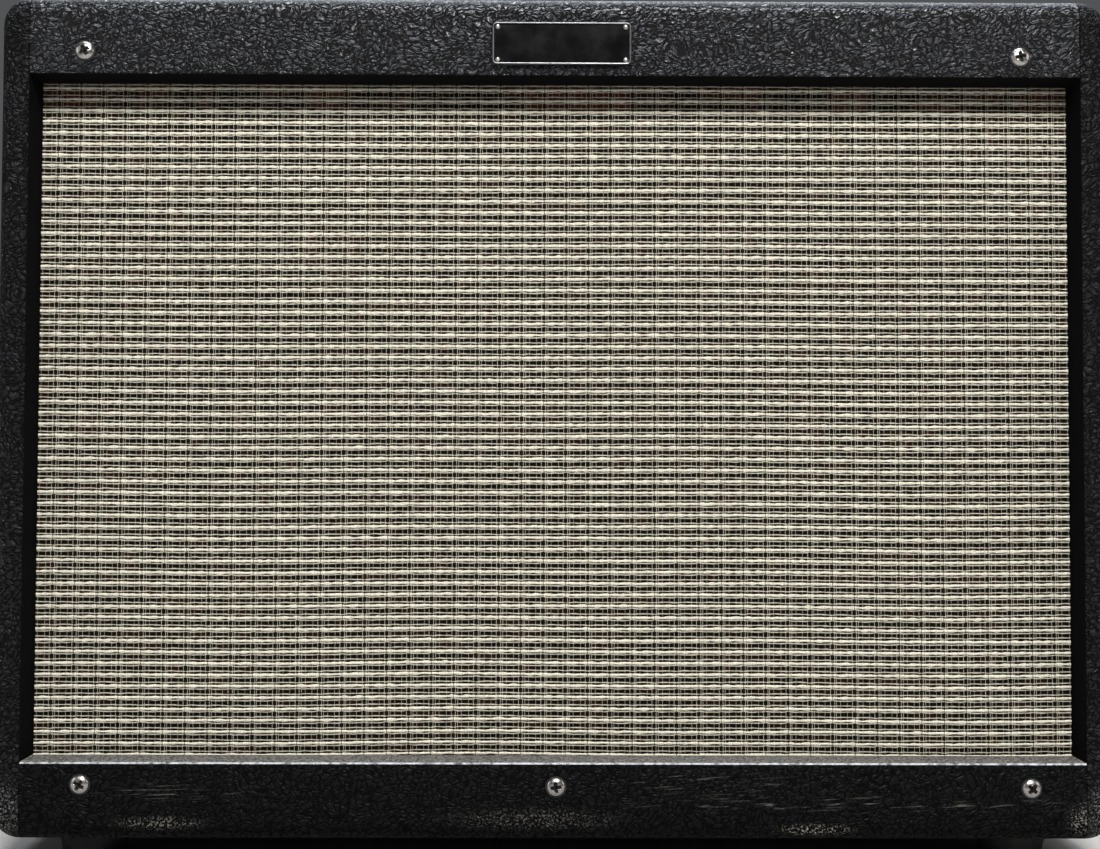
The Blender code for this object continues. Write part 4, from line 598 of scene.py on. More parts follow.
RUBBER = moulded("foot_rubber", (0.014, 0.014, 0.014), 0.75, 0.0005, 0.0001)
STRAP = moulded("strap_vinyl", (0.013, 0.013, 0.014), 0.5, 0.0009, 0.00018)
PLASTIC = moulded("socket_plastic", (0.010, 0.010, 0.011), 0.42)
KNOB = moulded("knob_black", (0.008, 0.008, 0.0085), 0.24, 0.0012, 0.00002)
WHITE_PAINT = moulded("pointer_white", (0.70, 0.69, 0.66), 0.5)
INK_BLACK = moulded("panel_ink", (0.006, 0.006, 0.006), 0.5)
BAKELITE = moulded("valve_base", (0.012, 0.010, 0.009), 0.35)
PLYWOOD = wood("baffle_ply", (0.42, 0.29, 0.17), (0.24, 0.15, 0.08))
PINE = wood("cleat_pine", (0.55, 0.40, 0.24), (0.36, 0.24, 0.13), (1.0, 1.0, 0.12))
IRON = laminated()
BELL_PAINT = moulded("bell_paint", (0.010, 0.010, 0.011), 0.35, 0.0007, 0.00005)
COIL_WRAP = moulded("coil_wrap", (0.34, 0.27, 0.15), 0.6, 0.0012, 0.00008)
CIRCUIT = printed_board()
GLASS = glass()
JEWEL = jewel()
BASKET = moulded("basket_enamel", (0.055, 0.056, 0.060), 0.38, 0.0009, 0.00006)
PAPER = paper()
SURROUND_CLOTH = treated_cloth("surround_doped", (0.020, 0.018, 0.016))
SPIDER_CLOTH = treated_cloth("spider_weave", (0.50, 0.36, 0.14))
CORK = cork()
FERRITE = ferrite()
PLATE_GREY = moulded("anode_grey", (0.055, 0.056, 0.058), 0.55)
MICA = moulded("mica_white", (0.62, 0.60, 0.54), 0.35)
GETTER = brushed("getter_silver", (0.30, 0.28, 0.27), 0.18)
STITCH = yarn("stitch_thread", (0.05, 0.05, 0.052), (0.02, 0.02, 0.02), 0.0005)
GLASS_SMALL = glass()


# Shapes


class Box:
    """A solid's box: its corners, middle, half width, height, and the middle of its upper face."""

    def __init__(self, node):
        self.low, self.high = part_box(node)
        self.mid = (self.low + self.high) / 2
        self.radius = (self.high.x - self.low.x) / 2
        self.tall = self.high.z - self.low.z
        self.top = (self.mid.x, self.mid.y, self.high.z)


def mesh_of(shape, name):
    """A mesh made of a shape, which is used up."""
    mesh = bpy.data.meshes.new(name)
    shape.to_mesh(mesh)
    shape.free()
    return mesh


def new_piece(name, shape, material, node=None, slot=None, angle=38.0, body="amplifier"):
    """A piece that moves with a body and may stand for a solid; its mesh is in the frame's own places."""
    mesh = shape
    if isinstance(shape, bmesh.types.BMesh):
        bmesh.ops.recalc_face_normals(shape, faces=shape.faces)
        mesh = mesh_of(shape, name)
    mesh.materials.append(material)
    mesh.shade_smooth()
    mesh.set_sharp_from_angle(angle=math.radians(angle))
    piece = bpy.data.objects.new(name, mesh)
    bpy.context.scene.collection.objects.link(piece)
    if body:
        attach(piece, body)
    if node:
        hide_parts(node)
    return piece


def turned_piece(name, profile, place, material, segments=48, toward=UP, **rest):
    """A piece of one turned shape."""
    return new_piece(name, turned(bmesh.new(), profile, place, toward, segments), material, **rest)


def split_inside(bm):
    """Cuts a board's faces where its covering ends: behind the baffle, near the back and at the top."""
    for level, toward in ((BAFFLE_BACK, BACKWARD), (BACK - TURN_IN, BACKWARD), (PANEL_TOP, UP)):
        everything = bm.verts[:] + bm.edges[:] + bm.faces[:]
        bmesh.ops.bisect_plane(bm, geom=everything, plane_co=Vector(toward) * level, plane_no=toward)


def line_inside(piece, toward, bare):
    """Faces that look along a direction are dull vinyl in the recess and bare wood inside the cabinet."""
    piece.data.materials.append(VINYL_RECESS)
    piece.data.materials.append(bare)
    for face in piece.data.polygons:
        if face.normal.dot(Vector(toward)) < 0.9:
            continue
        if face.center.y < BAFFLE_BACK:
            face.material_index = 1
        elif face.center.y < BACK - TURN_IN and face.center.z < PANEL_TOP:
            face.material_index = 2


def aligned(place, toward=UP, turn=0.0):
    """The matrix that puts a shape at a place with its own +Z along a direction."""
    rotation = Vector(UP).rotation_difference(Vector(toward)).to_matrix().to_4x4()
    return Matrix.Translation(place) @ rotation @ Matrix.Rotation(turn, 4, "Z")


def around(radius, height, angles):
    """Points at a radius and height, one for each angle."""
    return [Vector((radius * math.cos(angle), radius * math.sin(angle), height)) for angle in angles]


def evenly(count, start=0.0):
    """Angles spaced evenly round a full turn."""
    return [start + math.tau * index / count for index in range(count)]


def bridge(bm, rows, closed=True):
    """Faces between rows of points, one row after another; a row of one point makes triangles."""
    for first, second in zip(rows, rows[1:]):
        count = max(len(first), len(second))
        for index in range(count if closed else count - 1):
            after = (index + 1) % count
            corners = [first[index % len(first)], first[after % len(first)]]
            corners += [second[after % len(second)], second[index % len(second)]]
            corners = list(dict.fromkeys(corners))
            if len(corners) > 2:
                bm.faces.new(corners)


def turned(bm, profile, place, toward=UP, segments=48, start=0.0, sweep=math.tau):
    """A turned shape from (radius, height) points; a sweep below a full turn leaves a sector."""
    matrix = aligned(place, toward)
    full = sweep > math.tau - MERGE
    angles = [start + sweep * index / segments for index in range(segments if full else segments + 1)]
    rows = []
    for radius, height in profile:
        ring = around(radius, height, angles) if radius > MERGE else [Vector((0.0, 0.0, height))]
        rows.append([bm.verts.new(matrix @ point) for point in ring])
    bridge(bm, rows, full)
    return bm


def block(bm, low, high, radius=0.0, segments=3):
    """A box between two corners with all its edges rounded."""
    low = Vector(low)
    high = Vector(high)
    matrix = Matrix.Translation((low + high) / 2) @ Matrix.Diagonal((*(high - low), 1.0))
    verts = bmesh.ops.create_cube(bm, size=1.0, matrix=matrix)["verts"]
    if radius:
        edges = list({edge for vertex in verts for edge in vertex.link_edges})
        bmesh.ops.bevel(bm, geom=edges, offset=radius, segments=segments, profile=0.5, affect="EDGES")
    return bm


def slab(bm, mid, halves, radius, segments):
    """A rounded box about its middle."""
    return block(bm, Vector(mid) - Vector(halves), Vector(mid) + Vector(halves), radius, segments)


def on_plane(edge, axis, value):
    """True if both ends of an edge lie on a plane across an axis."""
    return all(abs(vertex.co[axis] - value) < 10 * MERGE for vertex in edge.verts)


def round_edges(bm, picks, radius, segments):
    """Rounds the edges that a test picks."""
    edges = [edge for edge in bm.edges if picks(edge)]
    bmesh.ops.bevel(bm, geom=edges, offset=radius, segments=segments, profile=0.5, affect="EDGES")


def round_where(bm, planes, radius, segments):
    """Rounds the edges that lie on all the planes, each an axis and a value."""
    round_edges(bm, lambda edge: all(on_plane(edge, *plane) for plane in planes), radius, segments)


def arc(centre, radius, start, end, count):
    """Points on an arc, with angles in degrees."""
    angles = [math.radians(start + (end - start) * index / count) for index in range(count + 1)]
    return [(centre[0] + radius * math.cos(angle), centre[1] + radius * math.sin(angle)) for angle in angles]


def prism(bm, outline, low, high, matrix, shrink=1.0):
    """A flat outline pushed up from one height to another; its top can be smaller."""
    base = [bm.verts.new(matrix @ Vector((x, y, low))) for x, y in outline]
    top = [bm.verts.new(matrix @ Vector((x * shrink, y * shrink, high))) for x, y in outline]
    bm.faces.new(base)
    bm.faces.new(top)
    bridge(bm, [base, top])


def strips(name, lines):
    """A mesh of ribbons: each line is an array of shape (stations, points across, 3)."""
    points = []
    faces = []
    base = 0
    for line in lines:
        stations, across, _ = line.shape
        points.append(line.reshape(-1, 3))
        first = np.arange((stations - 1) * across).reshape(stations - 1, across)[:, :-1].ravel() + base
        faces.append(np.stack([first, first + 1, first + across + 1, first + across], axis=1))
        base += stations * across
    mesh = bpy.data.meshes.new(name)
    mesh.from_pydata(np.concatenate(points).tolist(), [], np.concatenate(faces).tolist())
    return mesh


def screw_head(bm, place, toward, radius=SCREW_RADIUS, turn=0.0):
    """A domed head with a cross recess."""
    matrix = aligned(place, toward, turn)
    rings = 15
    segments = 64
    reach = 0.56 * radius
    half = 0.12 * radius
    soft = 0.07 * radius
    depth = 0.42 * radius
    rows = []
    for ring in range(rings + 1):
        out = radius * ring / rings
        height = 0.49 * radius * math.sqrt(max(0.0, 1.0 - 0.92 * (out / radius) ** 2))
        row = []
        for point in around(out, height, evenly(segments) if ring else [0.0]):
            far = max(abs(point.x), abs(point.y))
            near = min(abs(point.x), abs(point.y))
            along = min(1.0, max(0.0, (reach - far) / soft))
            across = min(1.0, max(0.0, (half + soft - near) / soft))
            point.z -= depth * along * across
            row.append(bm.verts.new(matrix @ point))
        rows.append(row)
    rows.append([bm.verts.new(matrix @ point) for point in around(radius, 0.0, evenly(segments))])
    bridge(bm, rows)


def washer(bm, place, toward, outer, inner, thickness):
    """A flat ring."""
    profile = [(inner, 0.0), (inner, thickness), (outer, thickness), (outer, 0.0), (inner, 0.0)]
    turned(bm, profile, place, toward)


def hex_nut(bm, place, toward, across, inner, height):
    """A six-sided nut with chamfered corners."""
    outer = across / 2 / math.cos(math.radians(30))
    profile = [(inner, 0.0), (inner, height), (outer * 0.88, height)]
    profile += [(outer, height * 0.82), (outer, 0.0), (inner, 0.0)]
    turned(bm, profile, place, toward, 6)


def panel_nut(bm, place, toward, outer, across, inner, height):
    """A thin washer with a six-sided nut on it."""
    washer(bm, place, toward, outer, inner, THIN_WASHER)
    hex_nut(bm, Vector(place) + Vector(toward) * THIN_WASHER, toward, across, inner, height)


def peg(bm, place, toward, points, segments):
    """A small solid pin: its axis closes a profile that starts and ends on it."""
    turned(bm, [(0.0, points[0][1]), *points, (0.0, points[-1][1])], place, toward, segments)


def screws(name, places, toward, radius=SCREW_RADIUS):
    """Several screw heads as one piece, with black bars of painted shade in their cross recesses; the
    recesses stand at different angles.
    """
    bm = bmesh.new()
    recess_shade_bars = bmesh.new()
    turns = random.Random(7)
    long = 0.54 * radius
    wide = 0.10 * radius
    bar = [(-long, -wide), (long, -wide), (long, wide), (-long, wide)]
    for place in places:
        turn = turns.uniform(0.0, math.pi / 2)
        screw_head(bm, place, toward, radius, turn)
        for quarter in (0.0, math.pi / 2):
            # Painted shade: a black bar along each arm of the cross recess.
            prism(recess_shade_bars, bar, 0.0, 0.20 * radius, aligned(place, toward, turn + quarter))
    new_piece(name + "_recess_shade", recess_shade_bars, RECESS_SHADE)
    new_piece(name, bm, SCREW_STEEL, angle=50.0)


# Cabinet


def side_board(name, side):
    """A side board with smooth outer corners and rims, and the cleat that the back panel screws to."""
    outer = side * OUTER_X
    inner = side * INNER_X
    bm = block(bmesh.new(), (min(inner, outer), FRONT, BOTTOM), (max(inner, outer), BACK, TOP))

    def outer_corner(edge):
        return on_plane(edge, 0, outer) and (on_plane(edge, 2, TOP) or on_plane(edge, 2, BOTTOM))

    def outer_rim(edge):
        at_end = on_plane(edge, 1, FRONT) or on_plane(edge, 1, BACK)
        return at_end and not on_plane(edge, 0, inner)

    round_edges(bm, outer_corner, CORNER_RADIUS, 12)
    round_edges(bm, outer_rim, EDGE_RADIUS, 8)
    round_where(bm, [(1, FRONT), (0, inner)], OPENING_EDGE_RADIUS, 3)
    split_inside(bm)
    board = new_piece("board_" + name, bm, VINYL_BOARDS, "cabinet_side_" + name, "black_vinyl")
    line_inside(board, (-side, 0.0, 0.0), PINE)
    low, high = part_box("back_panel_lower")
    near, far = sorted((inner, inner - side * CLEAT))
    cleat = block(bmesh.new(), (near, low.y - GAP - CLEAT, low.z), (far, low.y - GAP, high.z), 0.0008, 2)
    new_piece("cleat_" + name, cleat, PINE, slot="plywood")


def cabinet():
    """Boards, front panels and back panels, each with the sides whose shared edges are rounded."""
    side_board("left", -1)
    side_board("right", 1)
    boards = (
        ("panel_upper", "front_panel_upper", VINYL, "front top", EDGE_RADIUS, "front bottom", DOWN),
        ("panel_lower", "front_panel_lower", VINYL_WORN_SHADED, "front bottom", EDGE_RADIUS, "front top", None),
        ("board_top", "cabinet_top", VINYL_BOARDS, "back top", TOP_REAR_RADIUS, None, DOWN),
        ("board_bottom", "cabinet_bottom", VINYL_BOARDS, "back bottom", EDGE_RADIUS, None, UP),
        ("panel_back_upper", "back_panel_upper", VINYL_BOARDS, "back", BACK_PANEL_RADIUS, None, None),
        ("panel_back_lower", "back_panel_lower", VINYL_BOARDS, "back", BACK_PANEL_RADIUS, None, None),
    )
    for name, node, material, wide_edge, radius, fine_edge, inside in boards:
        low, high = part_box(node)
        planes = {"front": (1, low.y), "back": (1, high.y), "top": (2, high.z), "bottom": (2, low.z)}
        bm = block(bmesh.new(), low, high)
        round_where(bm, [planes[side] for side in wide_edge.split()], radius, 8)
        if fine_edge:
            round_where(bm, [planes[side] for side in fine_edge.split()], OPENING_EDGE_RADIUS, 3)
        split_inside(bm)
        board = new_piece(name, bm, material, node, "black_vinyl")
        if inside:
            line_inside(board, inside, PLYWOOD)


def panel_screws():
    """The screws of the front panels, each ringed by a thin black washer that is painted shade round its
    head, and those of the back panels.
    """
    front = [(x, FRONT, z) for x, z in SCREW_PLACES]
    screws("screws_front", front, FORWARD)
    bm = bmesh.new()
    for place in front:
        # Painted shade: a thin black ring round each front screw head.
        washer(bm, place, FORWARD, SCREW_RADIUS * 1.13, SCREW_RADIUS * 0.9, 0.00035)
    new_piece("screw_shade_rings", bm, RUBBER)
    back = []
    for node in ("back_panel_upper", "back_panel_lower"):
        low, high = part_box(node)
        z = high.z - CLEAT / 2 if node == "back_panel_upper" else low.z + CLEAT / 2
        back += [(share * (high.x - CLEAT / 2), high.y, z) for share in (-1.0, -0.34, 0.34, 1.0)]
    screws("screws_back", back, BACKWARD)


def badge():
    """The bare badge: a plated rim, a black face and a rivet in each corner."""
    box = Box("badge_plate")
    front = box.low.y
    centre = box.mid
    half_z = box.tall / 2

    def outline(inset):
        radius = max(0.0002, BADGE_CORNER - inset)
        wide = box.radius - inset - radius
        tall = half_z - inset - radius
        points = []
        for x, z, start in ((wide, tall, 0), (-wide, tall, 90), (-wide, -tall, 180), (wide, -tall, 270)):
            points += arc((x, z), radius, start, start + 90, 8)
        return points

    levels = (
        (0.0, box.high.y - 0.0001),
        (0.0, front + 0.0005),
        (0.0002, front + 0.0001),
        (0.0005, front),
        (BADGE_RIM - 0.0004, front),
        (BADGE_RIM - 0.0001, front + 0.0001),
        (BADGE_RIM, front + BADGE_DEPTH),
        (BADGE_RIM + 0.0004, front + BADGE_DEPTH + 0.0002),
    )
    bm = bmesh.new()
    rows = []
    for inset, y in levels:
        rows.append([bm.verts.new((centre.x + x, y, centre.z + z)) for x, z in outline(inset)])
    bridge(bm, rows)
    new_piece("badge_rim", bm, BADGE_RIM_METAL, "badge_plate", "badge_metal", 50.0)
    bm = bmesh.new()
    matrix = Matrix.Translation((centre.x, front + BADGE_DEPTH, centre.z))
    matrix @= Matrix.Rotation(math.pi / 2, 4, "X")
    prism(bm, outline(BADGE_RIM - 0.0003), -0.0012, 0.0, matrix)
    new_piece("badge_face", bm, BADGE_FACE, slot="badge_metal")
    bm = bmesh.new()
    dome = [(0.0, 0.0012), (0.0005, 0.00115), (0.0010, 0.0009), (0.0013, 0.0006)]
    dome += [(RIVET_RADIUS, 0.0001), (RIVET_RADIUS, 0.0)]
    for side in (-1, 1):
        for end in (-1, 1):
            x = centre.x + side * (box.radius - RIVET_FROM_SIDE)
            z = centre.z + end * (half_z - RIVET_FROM_EDGE)
            turned(bm, dome, (x, front + BADGE_DEPTH, z), FORWARD, 24)
    new_piece("badge_rivets", bm, SCREW_STEEL, slot="badge_metal")


def wave(values, amount, seed):
    """Slow, uneven drift along a yarn."""
    turns = random.Random(seed)
    total = np.zeros_like(values)
    for _ in range(4):
        total += np.sin(values * turns.uniform(8.0, 60.0) + turns.uniform(0.0, math.tau))
    return total * amount / 4


def bulged(xs, place, reach):
    """1 at one place in every column, falling to 0 a reach away from it."""
    away = np.mod(xs - place + COLUMN_PITCH / 2, COLUMN_PITCH) - COLUMN_PITCH / 2
    return np.exp(-((away / reach) ** 2))


def bowed(xs, z):
    """How far a row at a height leaves its level: the stretched cloth bows, most near the bottom."""
    share = (OPENING_TOP - z) / (OPENING_TOP - OPENING_BOTTOM)
    slow = np.sin(xs * 15.0 + 2.0 * share) + 0.6 * np.sin(xs * 34.0 - 3.0 * share)
    return ROW_BOW * (0.25 + 0.75 * share) * slow


def weft_line(xs, levels, width, depth, rise, seed, across):
    """One yarn along X at the given levels, rounded across and uneven in width."""
    uneven = levels + wave(xs, 0.00022, seed)
    uneven = uneven + wave(xs * 20.0, 0.00016, seed + 3)
    swell = 1.0 + wave(xs * 26.0, 0.42, seed + 1)
    line = np.zeros((len(xs), across, 3))
    for index in range(across):
        share = 2.0 * index / (across - 1) - 1.0
        line[:, index, 0] = xs
        line[:, index, 1] = depth - rise * (1.0 - share * share)
        line[:, index, 2] = uneven + share * width / 2 * swell
    return line


def grille():
    """The stretched cloth: a dark ground in low relief, bright and fine wefts, and the warps over them."""
    low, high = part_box("grille_cloth")
    rows = int((high.z - low.z) / ROW_PITCH)
    columns = int((high.x - low.x) / COLUMN_PITCH) + 1
    first_row = OPENING_TOP - FIRST_ROW_FROM_TOP
    above = int((high.z - first_row) / ROW_PITCH)
    tops = [first_row + (above - index) * ROW_PITCH for index in range(rows + 1)]
    tops = [z for z in tops if z - FINE_LOW - FINE_WIDTH > low.z and z + BRIGHT_WIDTH < high.z]
    xs = np.linspace(low.x + CLOTH_INSET, high.x - CLOTH_INSET, columns * WEAVE_STATIONS + 1)
    zs = np.linspace(low.z + CLOTH_INSET, high.z - CLOTH_INSET, rows * WARP_STATIONS + 1)
    front = low.y

    ground_x = np.linspace(low.x, high.x, columns * 4 + 1)
    ground_z = np.linspace(low.z, high.z, rows * SHEET_STATIONS + 1)
    grid_x, grid_z = np.meshgrid(ground_x, ground_z)
    down = np.mod(first_row - grid_z, ROW_PITCH)
    band = np.exp(-(((down - (FINE_HIGH + FINE_LOW) / 2) / 0.0009) ** 2))
    relief = high.y - 0.0001 - 0.00025 * (1.0 - band)
    mesh = strips("cloth_sheet", [np.stack([grid_x, relief, grid_z], axis=2)])
    cloth = new_piece("cloth_sheet", mesh, CLOTH, "grille_cloth", "grille_cloth")

    bulge = bulged(xs, BULGE_PLACE, 0.0014)
    sag = bulged(xs, -0.0016, 0.0016)
    lines = {"wefts_bright": [], "wefts_fine": [], "warps_pale": [], "warps_dark": []}
    for index, z in enumerate(tops):
        seed = 5 * index
        level = z + bowed(xs, z)
        bright = weft_line(xs, level - 0.00014 * sag, BRIGHT_WIDTH, front + 0.00045, 0.00042, seed, 4)
        lines["wefts_bright"].append(bright)
        upper = level - FINE_HIGH + HIGH_LIFT * bulge
        lower = level - FINE_LOW - LOW_DROP * bulge + 0.00008 * sag
        for levels, shift in ((upper, 2000), (lower, 4000)):
            fine = weft_line(xs, levels, FINE_WIDTH, front + 0.00050, 0.00012, seed + shift, 2)
            lines["wefts_fine"].append(fine)
    for column in range(columns):
        start = (column - columns / 2) * COLUMN_PITCH
        threads = [(start, DARK_THREAD, front + 0.00002, "warps_dark")]
        threads += [(start + offset, width, front + 0.00056, "warps_pale") for offset, width in WARP_PLACES]
        for order, (x, width, depth, kind) in enumerate(threads):
            if abs(x) > high.x - 0.001:
                continue
            line = np.zeros((len(zs), 2, 3))
            drift = x + wave(zs, 0.00024, 9000 + 11 * column + order)
            line[:, :, 0] = drift[:, None] + np.array([-0.5, 0.5]) * width
            line[:, :, 1] = depth
            line[:, :, 2] = zs[:, None]
            lines[kind].append(line)
    for (kind, made), material in zip(lines.items(), (YARN_BRIGHT, YARN_FINE, YARN_WARP, YARN_DARK)):
        name = "cloth_" + kind
        new_piece(name, strips(name, made), material, slot="grille_cloth")


def feet():
    """Rubber feet with a screw deep in each."""
    for node in ("foot_front_left", "foot_rear_left", "foot_front_right", "foot_rear_right"):
        box = Box(node)
        radius = box.radius
        top = box.high.z
        profile = [(0.0, top), (radius - 0.001, top), (radius, top - 0.001), (radius - 0.0008, 0.009)]
        profile += [(radius - 0.0012, 0.0085), (radius - 0.0024, 0.0012), (radius - 0.0036, 0.0)]
        profile += [(0.0068, 0.0), (0.006, 0.0006), (0.006, 0.007), (0.0, 0.007)]
        turned_piece("rubber_" + node, profile, (*box.top[:2], 0.0), RUBBER, node=node, slot="rubber")
        bm = bmesh.new()
        screw_head(bm, (*box.top[:2], 0.007), DOWN, SMALL_SCREW_RADIUS)
        new_piece("screw_" + node, bm, SCREW_STEEL)


# Controls


def hinge(body):
    """The place that a body turns about."""
    return next(Vector(joint["pos_m"]) for joint in frame["joints"] if joint["child"] == body)


def dial_turn(number):
    """The angle clockwise from straight up to a number on a dial."""
    return math.radians(DIAL_SWEEP * (number / DIAL_STEPS - 0.5))


def knob(name, setting):
    """A pointer knob: skirt, tapered bar with a long beak, and a white line on its ridge."""
    x, y, _ = hinge(name + "_knob")
    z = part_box("knob_" + name)[1].z - KNOB_HEIGHT
    matrix = Matrix.Translation((x, y, z)) @ Matrix.Rotation(math.pi - dial_turn(setting), 4, "Z")
    skirt = [(0.0, 0.0056), (0.0074, 0.0056), (0.0084, 0.0053), (0.0092, 0.0047), (0.0095, 0.0040)]
    skirt += [(KNOB_RADIUS, 0.0012), (KNOB_RADIUS, 0.0), (0.0, 0.0)]
    bm = turned(bmesh.new(), skirt, (x, y, z))
    half = KNOB_BAR_WIDTH / 2
    tip = KNOB_TIP_WIDTH / 2
    beak = [(half, 0.001), (half * 0.93, 0.0045), (tip * 1.1, KNOB_TIP - 0.0006), (tip * 0.6, KNOB_TIP)]
    outline = arc((0.0, -KNOB_TAIL + half), half, 0.0, -180.0, 14)
    outline += [(-across, along) for across, along in beak] + beak[::-1]
    bar = bmesh.new()
    prism(bar, outline, 0.0016, KNOB_HEIGHT, matrix, KNOB_DRAFT)
    round_where(bar, [(2, z + KNOB_HEIGHT)], 0.0008, 3)
    bm.from_mesh(mesh_of(bar, "bar"))
    new_piece("pointer_" + name, bm, KNOB, "knob_" + name, "knob_plastic", 30.0, name + "_knob")
    line = bmesh.new()
    end = KNOB_TIP * KNOB_DRAFT - 0.0008
    ridge = [(-0.00035, -0.001), (0.00035, -0.001), (0.00035, end), (-0.00035, end)]
    prism(line, ridge, KNOB_HEIGHT - 0.0002, KNOB_HEIGHT + INK, matrix)
    new_piece("pointer_line_" + name, line, WHITE_PAINT, body=name + "_knob")


def numeral(text, size):
    """The mesh of a printed number, lying flat."""
    curve = bpy.data.curves.new("numeral", "FONT")
    curve.body = text
    curve.size = size
    curve.align_x = "CENTER"
    curve.align_y = "CENTER"
    curve.extrude = INK / 2
    curve.resolution_u = 3
    holder = bpy.data.objects.new("numeral", curve)
    bpy.context.scene.collection.objects.link(holder)
    bpy.context.view_layer.update()
    mesh = bpy.data.meshes.new_from_object(holder.evaluated_get(bpy.context.evaluated_depsgraph_get()))
    bpy.data.objects.remove(holder, do_unlink=True)
    return mesh


def jack_row(node, count):
    """The places along the panel of a row of sockets, from the right."""
    low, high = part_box(node)
    right = high.x - JACK_HALF
    return [right + (low.x + JACK_HALF - right) * index / (count - 1) for index in range(count)]


def dials():
    """Printed ticks and numbers round each knob, with a number by each input and a border line."""
    bm = bmesh.new()

    def stamp(mesh, matrix):
        before = len(bm.verts)
        bm.from_mesh(mesh)
        bm.verts.ensure_lookup_table()
        bmesh.ops.transform(bm, matrix=matrix, verts=bm.verts[before:])

    upright = Matrix.Rotation(math.pi, 4, "Z")
    meshes = {number: numeral(str(number), NUMERAL_SIZE) for number in range(1, DIAL_STEPS + 1)}
    bar = block(bmesh.new(), (-TICK_HALF, TICK_INNER, -INK / 2), (TICK_HALF, TICK_OUTER, INK / 2))
    tick = mesh_of(bar, "tick")
    level = PANEL_TOP + INK / 2
    for name in KNOB_SETTINGS:
        x, y, _ = hinge(name + "_knob")
        for number, mesh in meshes.items():
            out = Matrix.Translation((x, y, level)) @ Matrix.Rotation(math.pi - dial_turn(number), 4, "Z")
            stamp(tick, out)
            stamp(mesh, Matrix.Translation(out @ Vector((0.0, NUMERAL_RADIUS, 0.0))) @ upright)
    for number, x in enumerate(jack_row("input_jacks", 2), 1):
        stamp(meshes[number], Matrix.Translation((x, CONTROL_Y + 0.016, level)) @ upright)
    low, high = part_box("control_panel")
    left, right = low.x + BORDER_INSET, high.x - BORDER_INSET
    front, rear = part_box("cabinet_top")[1].y + BORDER_INSET, high.y - BORDER_INSET
    for first, second in (
        ((left, front), (right, front + BORDER_LINE)),
        ((left, rear - BORDER_LINE), (right, rear)),
        ((left, front), (left + BORDER_LINE, rear)),
        ((right - BORDER_LINE, front), (right, rear)),
    ):
        block(bm, (*first, PANEL_TOP), (*second, PANEL_TOP + INK))
    new_piece("panel_print", bm, INK_BLACK)


def panel_hardware():
    """Nuts and washers on sockets and switches, and collars round the buttons."""
    nuts = bmesh.new()
    for x in jack_row("input_jacks", 2) + jack_row("effects_jacks", 3):
        panel_nut(nuts, (x, CONTROL_Y, PANEL_TOP), UP, *JACK_NUT)
        washer(nuts, (x, CONTROL_Y, PANEL_TOP + 0.0022), UP, 0.0057, 0.00345, 0.0009)
    for key in SWITCHES:
        place = (Box("switch_" + key).mid.x, CONTROL_Y, PANEL_TOP)
        panel_nut(nuts, place, UP, 0.0078, 0.0138, 0.0054, 0.0022)
        thread = [(0.0036, 0.0079), (0.0053, 0.0079)]
        thread += [(0.0057 if step % 2 else 0.0054, 0.0077 - step * 0.0005) for step in range(10)]
        thread += [(0.0054, 0.0020), (0.0036, 0.0020), (0.0036, 0.0079)]
        turned(nuts, thread, place, UP)
    for key in BUTTONS:
        ring = [(0.0040, 0.0), (0.0040, 0.0010), (0.0044, 0.0014)]
        ring += [(0.0056, 0.0012), (0.0062, 0.0), (0.0040, 0.0)]
        turned(nuts, ring, (*Box("button_" + key).top[:2], PANEL_TOP), UP)
    new_piece("panel_nuts", nuts, PLATED, angle=30.0)
    bm = bmesh.new()
    low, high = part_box("speaker_jacks")
    for x in (low.x + JACK_HALF, high.x - JACK_HALF):
        panel_nut(bm, (x, (low.y + high.y) / 2, CHASSIS_FLOOR), DOWN, *JACK_NUT)
    new_piece("speaker_jack_nuts", bm, PLATED, angle=30.0)


def switches_and_buttons():
    """Bat levers and round push buttons."""
    lean = math.radians(LEVER_LEAN)
    upward = (0.0, math.sin(lean), math.cos(lean))
    for key in SWITCHES:
        profile = arc((0.0, 0.0), 0.00285, -90.0, 58.0, 10)
        profile += [(0.0015, 0.0038), (0.0019, 0.0066), (0.0024, 0.0098)]
        profile += arc((0.0, 0.0101), 0.00255, 15.0, 90.0, 8)
        bm = turned(bmesh.new(), profile, hinge(key + "_lever"), upward)
        new_piece("lever_" + key, bm, CHROME, "switch_" + key, "chrome", body=key + "_lever")
    for key in BUTTONS:
        box = Box("button_" + key)
        top = box.high.z
        profile = [(0.0, top - 0.00025), (0.0020, top - 0.0001), (0.0028, top), (0.0033, top - 0.0002)]
        profile += [(0.0036, top - 0.0008), (0.0036, box.low.z), (0.0, box.low.z)]
        bm = turned(bmesh.new(), profile, (*box.top[:2], 0.0))
        new_piece("push_" + key, bm, KNOB, "button_" + key, "knob_plastic", body=key + "_button")


